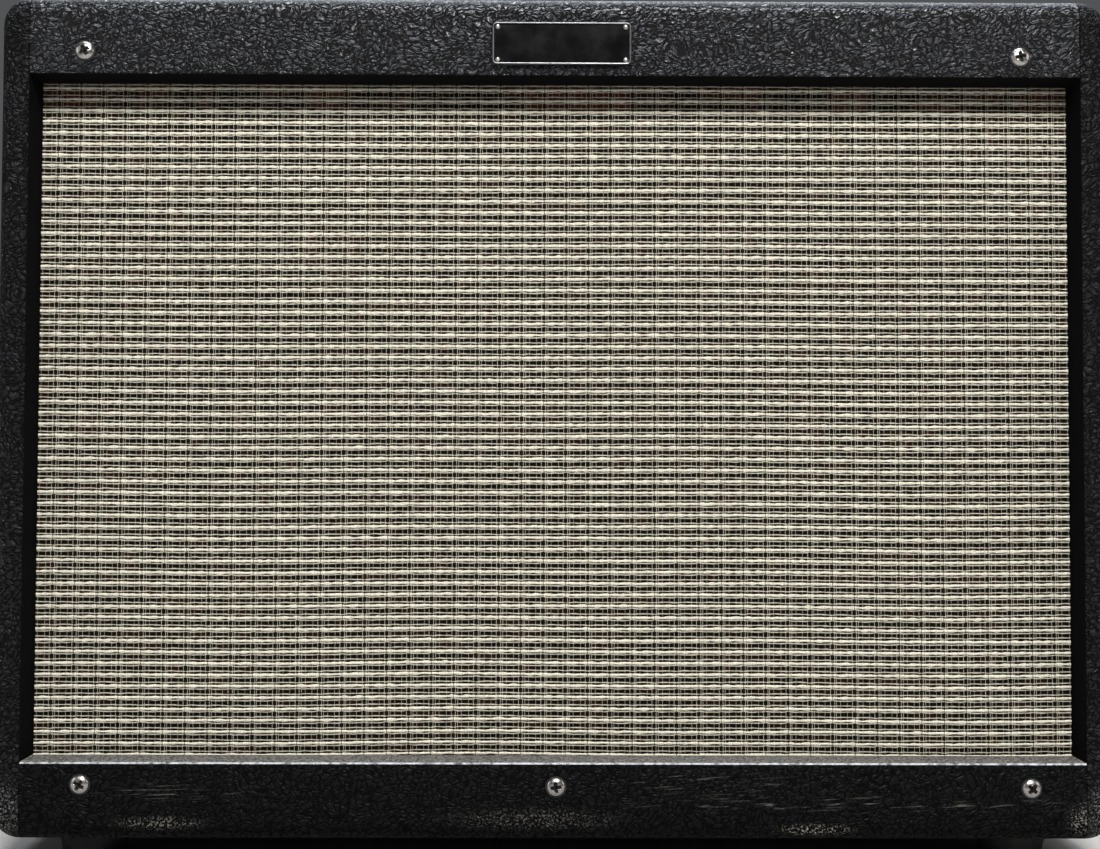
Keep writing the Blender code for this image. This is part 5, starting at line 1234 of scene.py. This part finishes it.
def lamp():
    """The pilot lamp: a plated bezel round a cut red jewel."""
    place = Vector((*Box("pilot_lamp").top[:2], PANEL_TOP))
    bezel = [(0.0064, 0.0036), (0.0066, 0.0042), (0.0074, 0.0043), (0.0082, 0.0036), (0.0085, 0.0024)]
    bezel += [(0.0085, 0.0003), (0.0068, 0.0003), (0.0068, -0.024), (0.0, -0.024)]
    turned_piece("lamp_bezel", bezel, place, CHROME, node="pilot_lamp", slot="chrome")
    bm = bmesh.new()
    facets = 12
    rows = []
    levels = ((0.0064, 0.0036, 0.0), (0.0060, 0.0058, 0.5), (0.0044, 0.0076, 0.0), (0.0022, 0.0088, 0.5))
    for radius, height, shift in levels:
        points = around(radius, height, evenly(facets, math.tau * shift / facets))
        rows.append(([bm.verts.new(place + point) for point in points], shift))
    for (first, shift), (second, _) in zip(rows, rows[1:]):
        for index in range(facets):
            after = (index + 1) % facets
            if shift:
                bm.faces.new([first[index], second[after], second[index]])
                bm.faces.new([first[index], first[after], second[after]])
            else:
                bm.faces.new([first[index], first[after], second[index]])
                bm.faces.new([first[after], second[after], second[index]])
    bm.faces.new(rows[-1][0])
    new_piece("lamp_jewel", bm, JEWEL, slot="lamp_jewel", angle=5.0)


def handle():
    """The strap with its raised border and stitched line, and a screw in each end cap."""
    box = Box("handle_strap")
    length = box.high.x - box.low.x
    bent = length / 2 - 0.026

    def strap_at(x):
        """Width, thickness and underside of the strap at a place along it."""
        along = max(0.0, 1.0 - abs(x) / bent)
        share = along * along * (3.0 - 2.0 * along)
        return 0.020 + 0.006 * min(1.0, 3.0 * share), 0.004 + 0.004 * share, box.low.z + 0.010 * share

    ribs = [(-1.0, 0.0), (-1.0, 0.55), (-0.93, 0.85), (-0.80, 1.0), (-0.62, 0.97), (-0.52, 0.80), (0.0, 0.76)]
    section = ribs + [(-across, rise) for across, rise in reversed(ribs[:-1])] + [(0.9, 0.0), (-0.9, 0.0)]
    bm = bmesh.new()
    rows = []
    for index in range(STRAP_STATIONS + 1):
        x = box.low.x + length * index / STRAP_STATIONS
        width, thick, base = strap_at(x)
        spots = [(x, box.mid.y + across * width / 2, base + rise * thick) for across, rise in section]
        rows.append([bm.verts.new(spot) for spot in spots])
    bridge(bm, rows)
    bm.faces.new(rows[0])
    bm.faces.new(rows[-1])
    new_piece("strap_body", bm, STRAP, "handle_strap", "rubber", 30.0, "strap")
    stitches = bmesh.new()
    count = int(2 * bent * 0.86 / STITCH_PITCH)
    for side in (-1, 1):
        for index in range(count):
            x = (index - (count - 1) / 2) * STITCH_PITCH
            width, thick, base = strap_at(x)
            top = base + 0.97 * thick
            y = box.mid.y + side * 0.70 * width / 2
            low = (x - 0.0013, y - 0.00030, top - 0.0004)
            high = (x + 0.0013, y + 0.00030, top + 0.00028)
            block(stitches, low, high, 0.00026, 2)
    new_piece("strap_stitches", stitches, STITCH, body="strap")
    caps = [Vector(Box("handle_cap_" + side).top) - Vector((0.0, 0.0, 0.0002)) for side in ("left", "right")]
    screws("screws_handle", caps, UP, 0.0045)


# Speaker


def softened(points, reach):
    """A profile with its corners rounded."""
    soft = [points[0]]
    for before, corner, after in zip(points, points[1:], points[2:]):
        corner = Vector(corner)
        near = corner + (Vector(before) - corner).normalized() * reach
        far = corner + (Vector(after) - corner).normalized() * reach
        for step in range(5):
            share = step / 4
            soft.append(tuple(near * (1 - share) ** 2 + corner * 2 * share * (1 - share) + far * share**2))
    soft.append(points[-1])
    return soft


def window_half_angle(radius):
    """Half the angle of a basket's window at a radius; its corners are rounded."""
    radius = min(WINDOW_OUTER, max(WINDOW_INNER, radius))
    half = math.pi / WINDOW_COUNT - math.radians(WINDOW_RIB_ANGLE / 2)
    from_end = min(WINDOW_OUTER - radius, radius - WINDOW_INNER, WINDOW_CORNER)
    cut = WINDOW_CORNER - math.sqrt(WINDOW_CORNER**2 - (WINDOW_CORNER - from_end) ** 2)
    return half - cut / radius


def basket():
    """The pressed basket: rim, step, slope with rounded windows, spider shelf and floor, one sheet thick."""
    seat = (BASKET_SEAT - BASKET_STEEL, -BASKET_STEP)
    shelf = (SHELF_OUTER, -SHELF_DEPTH + BASKET_STEEL)
    ends = (0.0, 0.0005, 0.0017, 0.0035, 0.0055, WINDOW_CORNER)
    radii = [WINDOW_OUTER - away for away in ends]
    radii += [WINDOW_OUTER + (WINDOW_INNER - WINDOW_OUTER) * share for share in (0.3, 0.4, 0.5, 0.6, 0.7)]
    radii += [WINDOW_INNER + away for away in reversed(ends)]
    corners = [(SPEAKER_RADIUS, 0.0), (BASKET_SEAT, 0.0), seat, shelf, (SHELF_INNER, -SHELF_DEPTH)]
    corners += [(FLOOR_RADIUS, -BASKET_DEPTH + BASKET_STEEL), (FLOOR_HOLE, -BASKET_DEPTH + BASKET_STEEL)]
    profile = softened(corners, 0.003)
    fall = (shelf[1] - seat[1]) / (shelf[0] - seat[0])
    slope = [(radius, seat[1] + fall * (radius - seat[0])) for radius in radii]
    outer = [point for point in profile if point[0] > WINDOW_OUTER + 0.001]
    inner = [point for point in profile if point[0] < WINDOW_INNER - 0.001]
    matrix = aligned(SPEAKER_PLACE, FORWARD)
    rib_cells = 6
    window_cells = 10
    bm = bmesh.new()
    rings = []
    for radius, height in outer + slope + inner:
        half = window_half_angle(radius)
        rib = math.pi / WINDOW_COUNT - half
        angles = []
        for start in evenly(WINDOW_COUNT):
            angles += [start - rib + 2.0 * rib * cell / rib_cells for cell in range(rib_cells)]
            angles += [start + rib + 2.0 * half * cell / window_cells for cell in range(window_cells)]
        rings.append((radius, [bm.verts.new(matrix @ point) for point in around(radius, height, angles)]))
    cells = rib_cells + window_cells
    for (first_radius, first), (second_radius, second) in zip(rings, rings[1:]):
        open_here = first_radius < WINDOW_OUTER + MERGE and second_radius > WINDOW_INNER - MERGE
        for index in range(len(first)):
            if open_here and index % cells >= rib_cells:
                continue
            after = (index + 1) % len(first)
            bm.faces.new([first[index], first[after], second[after], second[index]])
    bmesh.ops.recalc_face_normals(bm, faces=bm.faces)
    if next(iter(bm.faces)).normal.y > 0.0:
        bmesh.ops.reverse_faces(bm, faces=bm.faces)
    bmesh.ops.solidify(bm, geom=bm.faces[:], thickness=BASKET_STEEL)
    new_piece("basket_sheet", bm, BASKET, "speaker_frame", "basket_paint", 40.0)


def cone_depth(share):
    """Depth of the cone from its edge, 0, to its neck, 1."""
    return CONE_FRONT + (CONE_NECK_DEPTH - CONE_FRONT) * share - CONE_BULGE * math.sin(math.pi * share)


def suspension(name, outer, inner, land, level, pleats, material, slot):
    """A pleated ring in sectors between the basket and the cone."""
    start = outer - land
    stations = pleats * 12
    profile = [(outer, level), (start + 0.001, level)]
    for index in range(stations + 1):
        share = index / stations
        height = level + PLEAT_HEIGHT * (1.0 - math.cos(share * math.tau * pleats))
        profile.append((start + (inner - start) * share, height))
    axis = Vector(SPEAKER_PLACE)
    sweep = math.tau / SUSPENSION_SECTORS
    for sector, begin in enumerate(evenly(SUSPENSION_SECTORS)):
        bm = turned(bmesh.new(), profile, axis, FORWARD, 10, begin, sweep)
        out = aligned((0, 0, 0), FORWARD).to_3x3() @ around(1.0, 0.0, [begin + sweep / 2])[0]
        node = "speaker_" + name if sector == 0 else None
        piece = new_piece(f"{name}_{sector + 1}", bm, material, node, slot, 180.0, None)
        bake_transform(piece)


def cone():
    """The cone with its ribs, dust cap and coil former, and the two pleated rings that hold it."""
    stations = 60
    front = []
    for index in range(stations + 1):
        share = index / stations
        radius = CONE_RADIUS - 0.0001 + (COIL_RADIUS - CONE_RADIUS) * share
        ripple = 0.0004 * math.sin(share * math.tau * 9.0) if 0.1 < share < 0.5 else 0.0
        front.append((radius, -cone_depth(share) + ripple))
    back = [(radius, height - CONE_PAPER) for radius, height in front]
    inside = COIL_RADIUS - 0.0007
    former = [(COIL_RADIUS, back[-1][1]), (COIL_RADIUS, COIL_END), (inside, COIL_END), (inside, front[-1][1])]
    seat = -cone_depth((CONE_RADIUS - DUST_CAP_RADIUS) / (CONE_RADIUS - COIL_RADIUS))
    cap = [(DUST_CAP_RADIUS * step / 12, seat + DUST_CAP_RISE * (1 - (step / 12) ** 2)) for step in range(13)]
    bm = turned(bmesh.new(), back[:-1] + former + front[::-1] + [back[0]], SPEAKER_PLACE, FORWARD, 128)
    turned(bm, cap, SPEAKER_PLACE, FORWARD, 96)
    new_piece("cone_paper", bm, PAPER, "speaker_cone", "cone_paper", 60.0, "cone")
    edge = CONE_RADIUS - 0.0004
    suspension("surround", SURROUND_OUTER, edge, 0.007, 0.0003, 2, SURROUND_CLOTH, "cone_paper")
    suspension("spider", SPIDER_OUTER, COIL_RADIUS, 0.006, -0.0640, 5, SPIDER_CLOTH, "spider_cloth")


def magnet():
    """The ferrite ring between its plates, the rear one with turned grooves and a vent."""
    low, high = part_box("speaker_magnet")
    step = -(low.y - RIM_FRONT)
    rear = -(high.y - RIM_FRONT)
    ring = MAGNET_RADIUS
    profile = [(0.0, step), (0.0515, step), (0.052, step - 0.0006), (0.052, step - 0.006)]
    profile += [(ring - 0.0016, step - 0.006), (ring, step - 0.0078), (ring, step - 0.0242)]
    profile += [(ring - 0.0016, step - 0.026), (0.0602, step - 0.026)]
    bm = turned(bmesh.new(), profile, SPEAKER_PLACE, FORWARD, 96)
    new_piece("magnet_ring", bm, FERRITE, "speaker_magnet", "ferrite")
    plate = [(0.0603, step - 0.0255), (0.0603, rear + 0.0012), (0.0592, rear)]
    for groove in (0.052, 0.040, 0.028):
        plate += [(groove + 0.0006, rear), (groove, rear + 0.0005), (groove - 0.0006, rear)]
    plate += [(0.0175, rear), (0.0160, rear + 0.0010), (0.0080, rear + 0.0010)]
    plate += [(0.0080, rear + 0.0060), (0.0, rear + 0.0060)]
    turned_piece("magnet_back_plate", plate, SPEAKER_PLACE, ZINC, 96, FORWARD, slot="ferrite", angle=20.0)


def speaker_fixings():
    """The basket's bolts, its cork gasket, and the terminal board on its lowest rib."""
    bolts = bmesh.new()
    for angle in evenly(8, math.tau / 16):
        x = (SPEAKER_RADIUS - 0.008) * math.cos(angle)
        z = SPEAKER_Z + (SPEAKER_RADIUS - 0.008) * math.sin(angle)
        place = (x, RIM_FRONT + BASKET_STEEL, z)
        washer(bolts, place, BACKWARD, 0.0065, 0.0022, BOLT_WASHER)
        hex_nut(bolts, (x, place[1] + BOLT_WASHER, z), BACKWARD, 0.0090, 0.0022, 0.0036)
        peg(bolts, place, BACKWARD, [(0.0018, 0.0082), (0.0022, 0.0078), (0.0022, 0.0)], 20)
    new_piece("speaker_bolts", bolts, PLATED, angle=30.0)
    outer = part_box("speaker_gasket")[1].x
    ring = [(outer, 0.0003), (outer, 0.0031), (outer - 0.0004, 0.0033), (outer - 0.0096, 0.0033)]
    ring += [(outer - 0.010, 0.0031), (outer - 0.010, 0.0003), (outer, 0.0003)]
    turned_piece("gasket_ring", ring, SPEAKER_PLACE, CORK, 128, FORWARD, node="speaker_gasket", slot="cork")
    slant = math.atan2(SHELF_DEPTH - BASKET_STEEL - BASKET_STEP, BASKET_SEAT - BASKET_STEEL - SHELF_OUTER)
    fall = BASKET_STEP + (BASKET_SEAT - BASKET_STEEL - TERMINAL_RADIUS) * math.tan(slant)
    face = TERMINAL_BOARD / 2
    outward = Vector((0.0, math.cos(slant), -math.sin(slant)))
    place = Vector((0.0, RIM_FRONT + fall, SPEAKER_Z - TERMINAL_RADIUS)) + outward * (BASKET_STEEL + face)
    on_rib = Matrix.Translation(place) @ Matrix.Rotation(-slant, 4, "X")
    board = slab(bmesh.new(), (0.0, 0.0, 0.0), (0.0125, face, 0.009), 0.0005, 2)
    board.transform(on_rib)
    new_piece("terminal_board", board, COIL_WRAP)
    tags = bmesh.new()
    for x in (-0.0078, 0.0078):
        block(tags, (x - 0.0022, face, -0.0145), (x + 0.0022, face + 0.0008, 0.0035), 0.0003, 2)
        solder = [(0.0, 0.0014), (0.0013, 0.0012), (0.0018, 0.0), (0.0, 0.0)]
        turned(tags, solder, (x, face + 0.0008, 0.0), BACKWARD, 20)
    tags.transform(on_rib)
    new_piece("terminal_tags", tags, BRASS)


# Amplifier under the chassis


def transformers():
    """Bells with bolts on the mains transformer, and coils on the open ones."""
    box = Box("power_transformer")
    low, high = box.low, box.high
    core_half = 0.020
    paint = bmesh.new()
    for side in (-1, 1):
        far = box.mid.y + side * (core_half + 0.0162)
        ends = sorted((box.mid.y + side * (core_half + 0.0002), far))
        near_corner = (low.x + BELL_INSET, ends[0], low.z + BELL_INSET)
        far_corner = (high.x - BELL_INSET, ends[1], high.z - BELL_INSET)
        shell = block(bmesh.new(), near_corner, far_corner)
        round_where(shell, [(1, far)], 0.011, 8)
        paint.from_mesh(mesh_of(shell, "bell"))
    new_piece("transformer_bells", paint, BELL_PAINT, slot="black_iron")
    bolts = bmesh.new()
    for x in (low.x + 0.006, high.x - 0.006):
        for z in (low.z + 0.006, high.z - 0.006):
            for side, toward in ((-1, FORWARD), (1, BACKWARD)):
                place = (x, box.mid.y + side * core_half, z)
                hex_nut(bolts, place, toward, 0.0080, 0.0018, 0.0030)
                peg(bolts, place, toward, [(0.0016, 0.0048), (0.0018, 0.0)], 16)
    new_piece("transformer_bolts", bolts, PLATED, angle=30.0)

    def upright(edge):
        return abs(edge.verts[0].co.z - edge.verts[1].co.z) > 0.001

    for node, coil in (("output_transformer", 0.013), ("choke", 0.009)):
        box = Box(node)
        half_x = (box.radius - 0.010) / 2 + coil / 3 + 0.0003
        half_y = (box.high.y - box.low.y) / 2 + 0.0002
        room = (box.tall - 0.0015) / 6
        wrap = bmesh.new()
        block(wrap, (box.mid.x - half_x, box.mid.y - half_y, box.low.z + 0.0015 + room),
              (box.mid.x + half_x, box.mid.y + half_y, box.high.z - room))
        round_edges(wrap, upright, coil * 0.7, 8)
        new_piece("coil_" + node, wrap, COIL_WRAP, slot="black_iron")


def power_valve(side):
    """A power valve: thin glass, silvered dome, grey anode between mica discs, and its black base."""
    box = Box("power_tube_" + side)
    centre = box.mid
    radius = box.radius
    base = VALVE_BASE
    dome = arc((0.0, box.tall - radius), radius, 90.0, 0.0, 20)
    outer = dome + [(radius, base + 0.0135), (radius - 0.0012, base + 0.009)]
    outer += [(0.0180, base + 0.003), (0.0167, base - 0.001)]
    inner = []
    for out, height in outer:
        drop = 0.0010 if height > base + 0.02 else 0.0
        inner.append((max(0.0, out - 0.0010), height - drop))
    turned_piece("glass_" + side, outer + inner[::-1], box.top, GLASS, 64, DOWN, node="power_tube_" + side,
                 slot="valve_glass", angle=60.0)
    getter = [(out * 0.93, height - 0.0016) for out, height in dome[:13]]
    turned_piece("getter_" + side, getter, box.top, GETTER, toward=DOWN, angle=80.0)
    foot = [(0.0, base), (0.0172, base), (0.0178, base - 0.0008), (0.0178, 0.0036)]
    foot += [(0.0172, 0.003), (0.0172, 0.0), (0.0, 0.0)]
    turned_piece("base_" + side, foot, box.top, BAKELITE, 64, DOWN, slot="black_plastic")
    top = box.high.z - base - 0.016
    bottom = box.low.z + 0.028
    half = (top - bottom) / 2
    anode = bmesh.new()
    slab(anode, (*centre.xy, bottom + half), (0.0155, 0.0075, half), 0.0030, 4)
    slab(anode, (*centre.xy, bottom + half), (0.0190, 0.0006, half - 0.001), 0.0003, 1)
    for step in range(5):
        z = bottom + (top - bottom) * (step + 0.5) / 5
        slab(anode, (*centre.xy, z), (0.0140, 0.0079, 0.0008), 0.0004, 1)
    new_piece("anode_" + side, anode, PLATE_GREY)
    discs = bmesh.new()
    for z in (bottom - 0.0012, top + 0.0012):
        peg(discs, (*centre.xy, z), UP, [(0.0195, 0.0003), (0.0195, -0.0003)], 40)
    new_piece("mica_" + side, discs, MICA)
    wires = bmesh.new()
    for out in around(0.009, 0.0, evenly(8)):
        peg(wires, (centre.x + out.x, centre.y + out.y, top), UP, [(0.00045, 0.0), (0.00045, 0.016)], 8)
    new_piece("valve_wires_" + side, wires, PLATED)


def small_valves():
    """Preamp valves in their can shields."""
    for number in (1, 2, 3):
        node = f"preamp_tube_{number}"
        box = Box(node)
        tall = box.tall
        radius = box.radius
        place = box.top
        outer = [(0.0, tall), (0.0012, tall - 0.0004), (0.0022, tall - 0.0030), (0.0050, tall - 0.0052)]
        outer += [(0.0080, tall - 0.0068), (radius - 0.0005, tall - 0.0095), (radius, tall - 0.0125)]
        outer += [(radius, 0.0), (0.0, 0.0)]
        bm = turned(bmesh.new(), outer, place, DOWN, 40)
        new_piece(f"glass_small_{number}", bm, GLASS_SMALL, node, "valve_glass")
        node = f"tube_shield_{number}"
        box = Box(node)
        can = box.radius
        tall = box.tall
        slim = can - 0.0023
        profile = [(slim - 0.0012, tall), (slim - 0.0004, tall), (slim, tall - 0.0006), (slim, 0.0300)]
        profile += [(slim - 0.0005, 0.0294), (slim - 0.0005, 0.0280), (slim, 0.0274), (slim, 0.0086)]
        profile += [(can, 0.0078), (can, 0.0), (can - 0.0006, 0.0), (can - 0.0006, 0.0072)]
        profile += [(slim - 0.0006, 0.0080), (slim - 0.0006, tall - 0.0008), (slim - 0.0012, tall)]
        turned_piece(f"can_{number}", profile, place, PLATED, toward=DOWN, node=node, slot="plated_steel")


def sockets_and_inlet():
    """Valve sockets, the blades of the mains inlet and the fuse cap."""
    for side in ("left", "right"):
        node = "power_socket_" + side
        box = Box(node)
        tall = box.tall
        x, y, top = box.top
        profile = [(0.0, tall), (0.0165, tall), (0.0171, tall - 0.0006), (0.0171, 0.0038)]
        profile += [(box.radius, 0.0034), (box.radius, 0.0), (0.0, 0.0)]
        bm = turned(bmesh.new(), profile, box.top, DOWN)
        new_piece("socket_" + side, bm, BAKELITE, node, "black_plastic")
        plate = bmesh.new()
        washer(plate, (x, y, top - 0.0036), DOWN, box.radius - 0.0002, 0.0172, 0.0006)
        for end in (-1, 1):
            screw_head(plate, (x + end * (box.radius - 0.0012), y, top - 0.0040), DOWN, 0.0022)
        new_piece("socket_plate_" + side, plate, PLATED)
    box = Box("mains_inlet")
    blades = bmesh.new()
    for x, y in ((-0.002, 0.0), (0.002, -0.007), (0.002, 0.007)):
        slab(blades, (box.mid.x + x, box.mid.y + y, box.low.z + 0.0104), (0.001, 0.002, 0.0064), 0.0004, 2)
    new_piece("inlet_blades", blades, BRASS)
    box = Box("fuse_holder")
    cap = 0.0068
    floor = CHASSIS_FLOOR - box.low.z
    body = [(0.0, 0.0008), (0.0012, 0.0008), (0.0012, 0.0), (cap - 0.0010, 0.0), (cap, 0.0010)]
    body += [(cap, floor - 0.0025), (0.0084, floor - 0.0025), (0.0088, floor - 0.0020)]
    body += [(0.0088, floor - 0.0003), (0.006, floor - 0.0003), (0.006, box.tall), (0.0, box.tall)]
    place = Vector((box.mid.x, box.mid.y, box.low.z))
    bm = turned(bmesh.new(), body, place, UP, 40)
    for rib in around(cap, 0.0012, evenly(20)):
        turned(bm, [(0.0, 0.0066), (0.0004, 0.0064), (0.0004, 0.0), (0.0, 0.0)], place + rib, UP, 8)
    new_piece("fuse_body", bm, PLASTIC, "fuse_holder", "black_plastic")


def tank():
    """The reverb tank's pressed ribs, socket rings and screws."""
    low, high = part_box("reverb_tank")
    ribs = bmesh.new()
    for share in (-0.32, 0.0, 0.32):
        x = share * (high.x - low.x)
        start = (x - 0.004, low.y + 0.018, high.z - 0.0006)
        end = (x + 0.004, high.y - 0.018, high.z - 0.00002)
        block(ribs, start, end, 0.0002, 1)
    for end in (-1, 1):
        place = (end * (high.x - 0.030), low.y + 0.008, (low.z + high.z) / 2)
        washer(ribs, place, FORWARD, 0.0060, 0.0040, 0.0008)
        tube = [(0.0018, 0.0), (0.0018, 0.0082), (0.0042, 0.0082), (0.0042, 0.0), (0.0018, 0.0)]
        turned(ribs, tube, place, FORWARD, 32)
    new_piece("tank_ribs", ribs, ZINC, slot="tank_steel")
    bm = bmesh.new()
    for x in (-0.19, -0.07, 0.07, 0.19):
        for y in (low.y + 0.004, high.y - 0.004):
            screw_head(bm, (x, y, low.z + 0.0015), UP, 0.0026)
    new_piece("screws_tank", bm, SCREW_STEEL)


def chassis_screws():
    """Screws in the clamp feet of what hangs from the chassis floor."""
    places = []
    spreads = {"power_transformer": (-0.028, 0.028), "output_transformer": (0.0,), "choke": (0.0,)}
    for node, spread in spreads.items():
        box = Box(node)
        for x in (box.low.x + 0.005, box.high.x - 0.005):
            places += [(x, box.mid.y + away, box.high.z - 0.0015) for away in spread]
    screws("screws_hanging", places, DOWN, 0.0032)


# Finishes of the solids that stay


def finish_solids():
    """Gives each solid that stays its material."""
    finishes = {
        "baffle_board": PLYWOOD,
        "chassis": PLATED,
        "control_panel": CHROME,
        "control_board": CIRCUIT,
        "input_jacks": PLASTIC,
        "effects_jacks": PLASTIC,
        "speaker_jacks": PLASTIC,
        "mains_inlet": PLASTIC,
        "handle_cap_left": CHROME,
        "handle_cap_right": CHROME,
        "power_transformer": IRON,
        "output_transformer": IRON,
        "choke": IRON,
        "reverb_tank": ZINC,
    }
    for node, material in finishes.items():
        solid = frame["nodes"][node]
        solid.data.materials.clear()
        solid.data.materials.append(material)


# Camera, light and floor


def camera():
    """The photograph's view: straight on, a little above the middle."""
    data = bpy.data.cameras.new("camera")
    data.sensor_fit = "HORIZONTAL"
    data.sensor_width = 36.0
    data.lens = 36.0 * 1400.0 / 1100.0
    data.clip_start = 0.01
    made = bpy.data.objects.new("camera", data)
    bpy.context.scene.collection.objects.link(made)
    made.location = (-0.0076, -0.8772, 0.2115)
    made.rotation_euler = [math.radians(angle) for angle in (91.909, -0.159, -0.379)]
    bpy.context.scene.camera = made


def area_light(name, place, aim, width, height, power, colour):
    """A soft rectangular light."""
    data = bpy.data.lights.new(name, "AREA")
    data.shape = "RECTANGLE"
    data.size = width
    data.size_y = height
    data.energy = power
    data.color = colour
    made = bpy.data.objects.new(name, data)
    bpy.context.scene.collection.objects.link(made)
    made.location = place
    made.rotation_euler = (Vector(aim) - Vector(place)).to_track_quat("-Z", "Y").to_euler()


def studio():
    """Soft light from above the front, one overhead, weaker ones at the sides and behind, a pale floor."""
    area_light("key", (0.15, -2.0, 1.95), (0.0, -0.1, 0.25), 0.55, 0.4, 80.0, (1.0, 0.985, 0.96))
    area_light("overhead", (0.0, 0.1, 2.1), (0.0, 0.05, 0.3), 1.8, 0.7, 44.0, (0.90, 0.94, 1.0))
    area_light("side_left", (-2.1, -0.7, 0.9), (0.0, 0.0, 0.2), 1.0, 1.0, 5.0, (0.95, 0.97, 1.0))
    area_light("side_right", (2.1, -0.7, 0.9), (0.0, 0.0, 0.2), 1.0, 1.0, 5.0, (1.0, 0.98, 0.95))
    area_light("back", (0.4, 2.0, 0.85), (0.0, 0.0, 0.25), 1.3, 0.9, 26.0, (1.0, 0.99, 0.97))
    world = bpy.data.worlds.new("studio")
    bpy.context.scene.world = world
    world.use_nodes = True
    background = world.node_tree.nodes["Background"]
    background.inputs["Color"].default_value = (0.86, 0.88, 0.92, 1.0)
    background.inputs["Strength"].default_value = 0.11
    bm = bmesh.new()
    bmesh.ops.create_grid(bm, x_segments=24, y_segments=24, size=4.0)
    mesh = bpy.data.meshes.new("floor")
    bm.to_mesh(mesh)
    bm.free()
    look = Look("floor_pale", (0.41, 0.40, 0.39), 0.85, Specular_IOR_Level=0.2)
    haze = look.noise(0.4, 4.0)
    look.colour(haze, (0.38, 0.375, 0.365), (0.44, 0.43, 0.42))
    mesh.materials.append(look.material)
    floor = bpy.data.objects.new("floor", mesh)
    bpy.context.scene.collection.objects.link(floor)
    bpy.context.scene.view_settings.view_transform = "Standard"
    bpy.context.scene.view_settings.look = "Medium High Contrast"


camera()
studio()
finish_solids()
cabinet()
panel_screws()
badge()
grille()
feet()
for dial, setting in KNOB_SETTINGS.items():
    knob(dial, setting)
dials()
panel_hardware()
switches_and_buttons()
lamp()
handle()
basket()
cone()
magnet()
speaker_fixings()
transformers()
power_valve("left")
power_valve("right")
small_valves()
sockets_and_inlet()
tank()
chassis_screws()
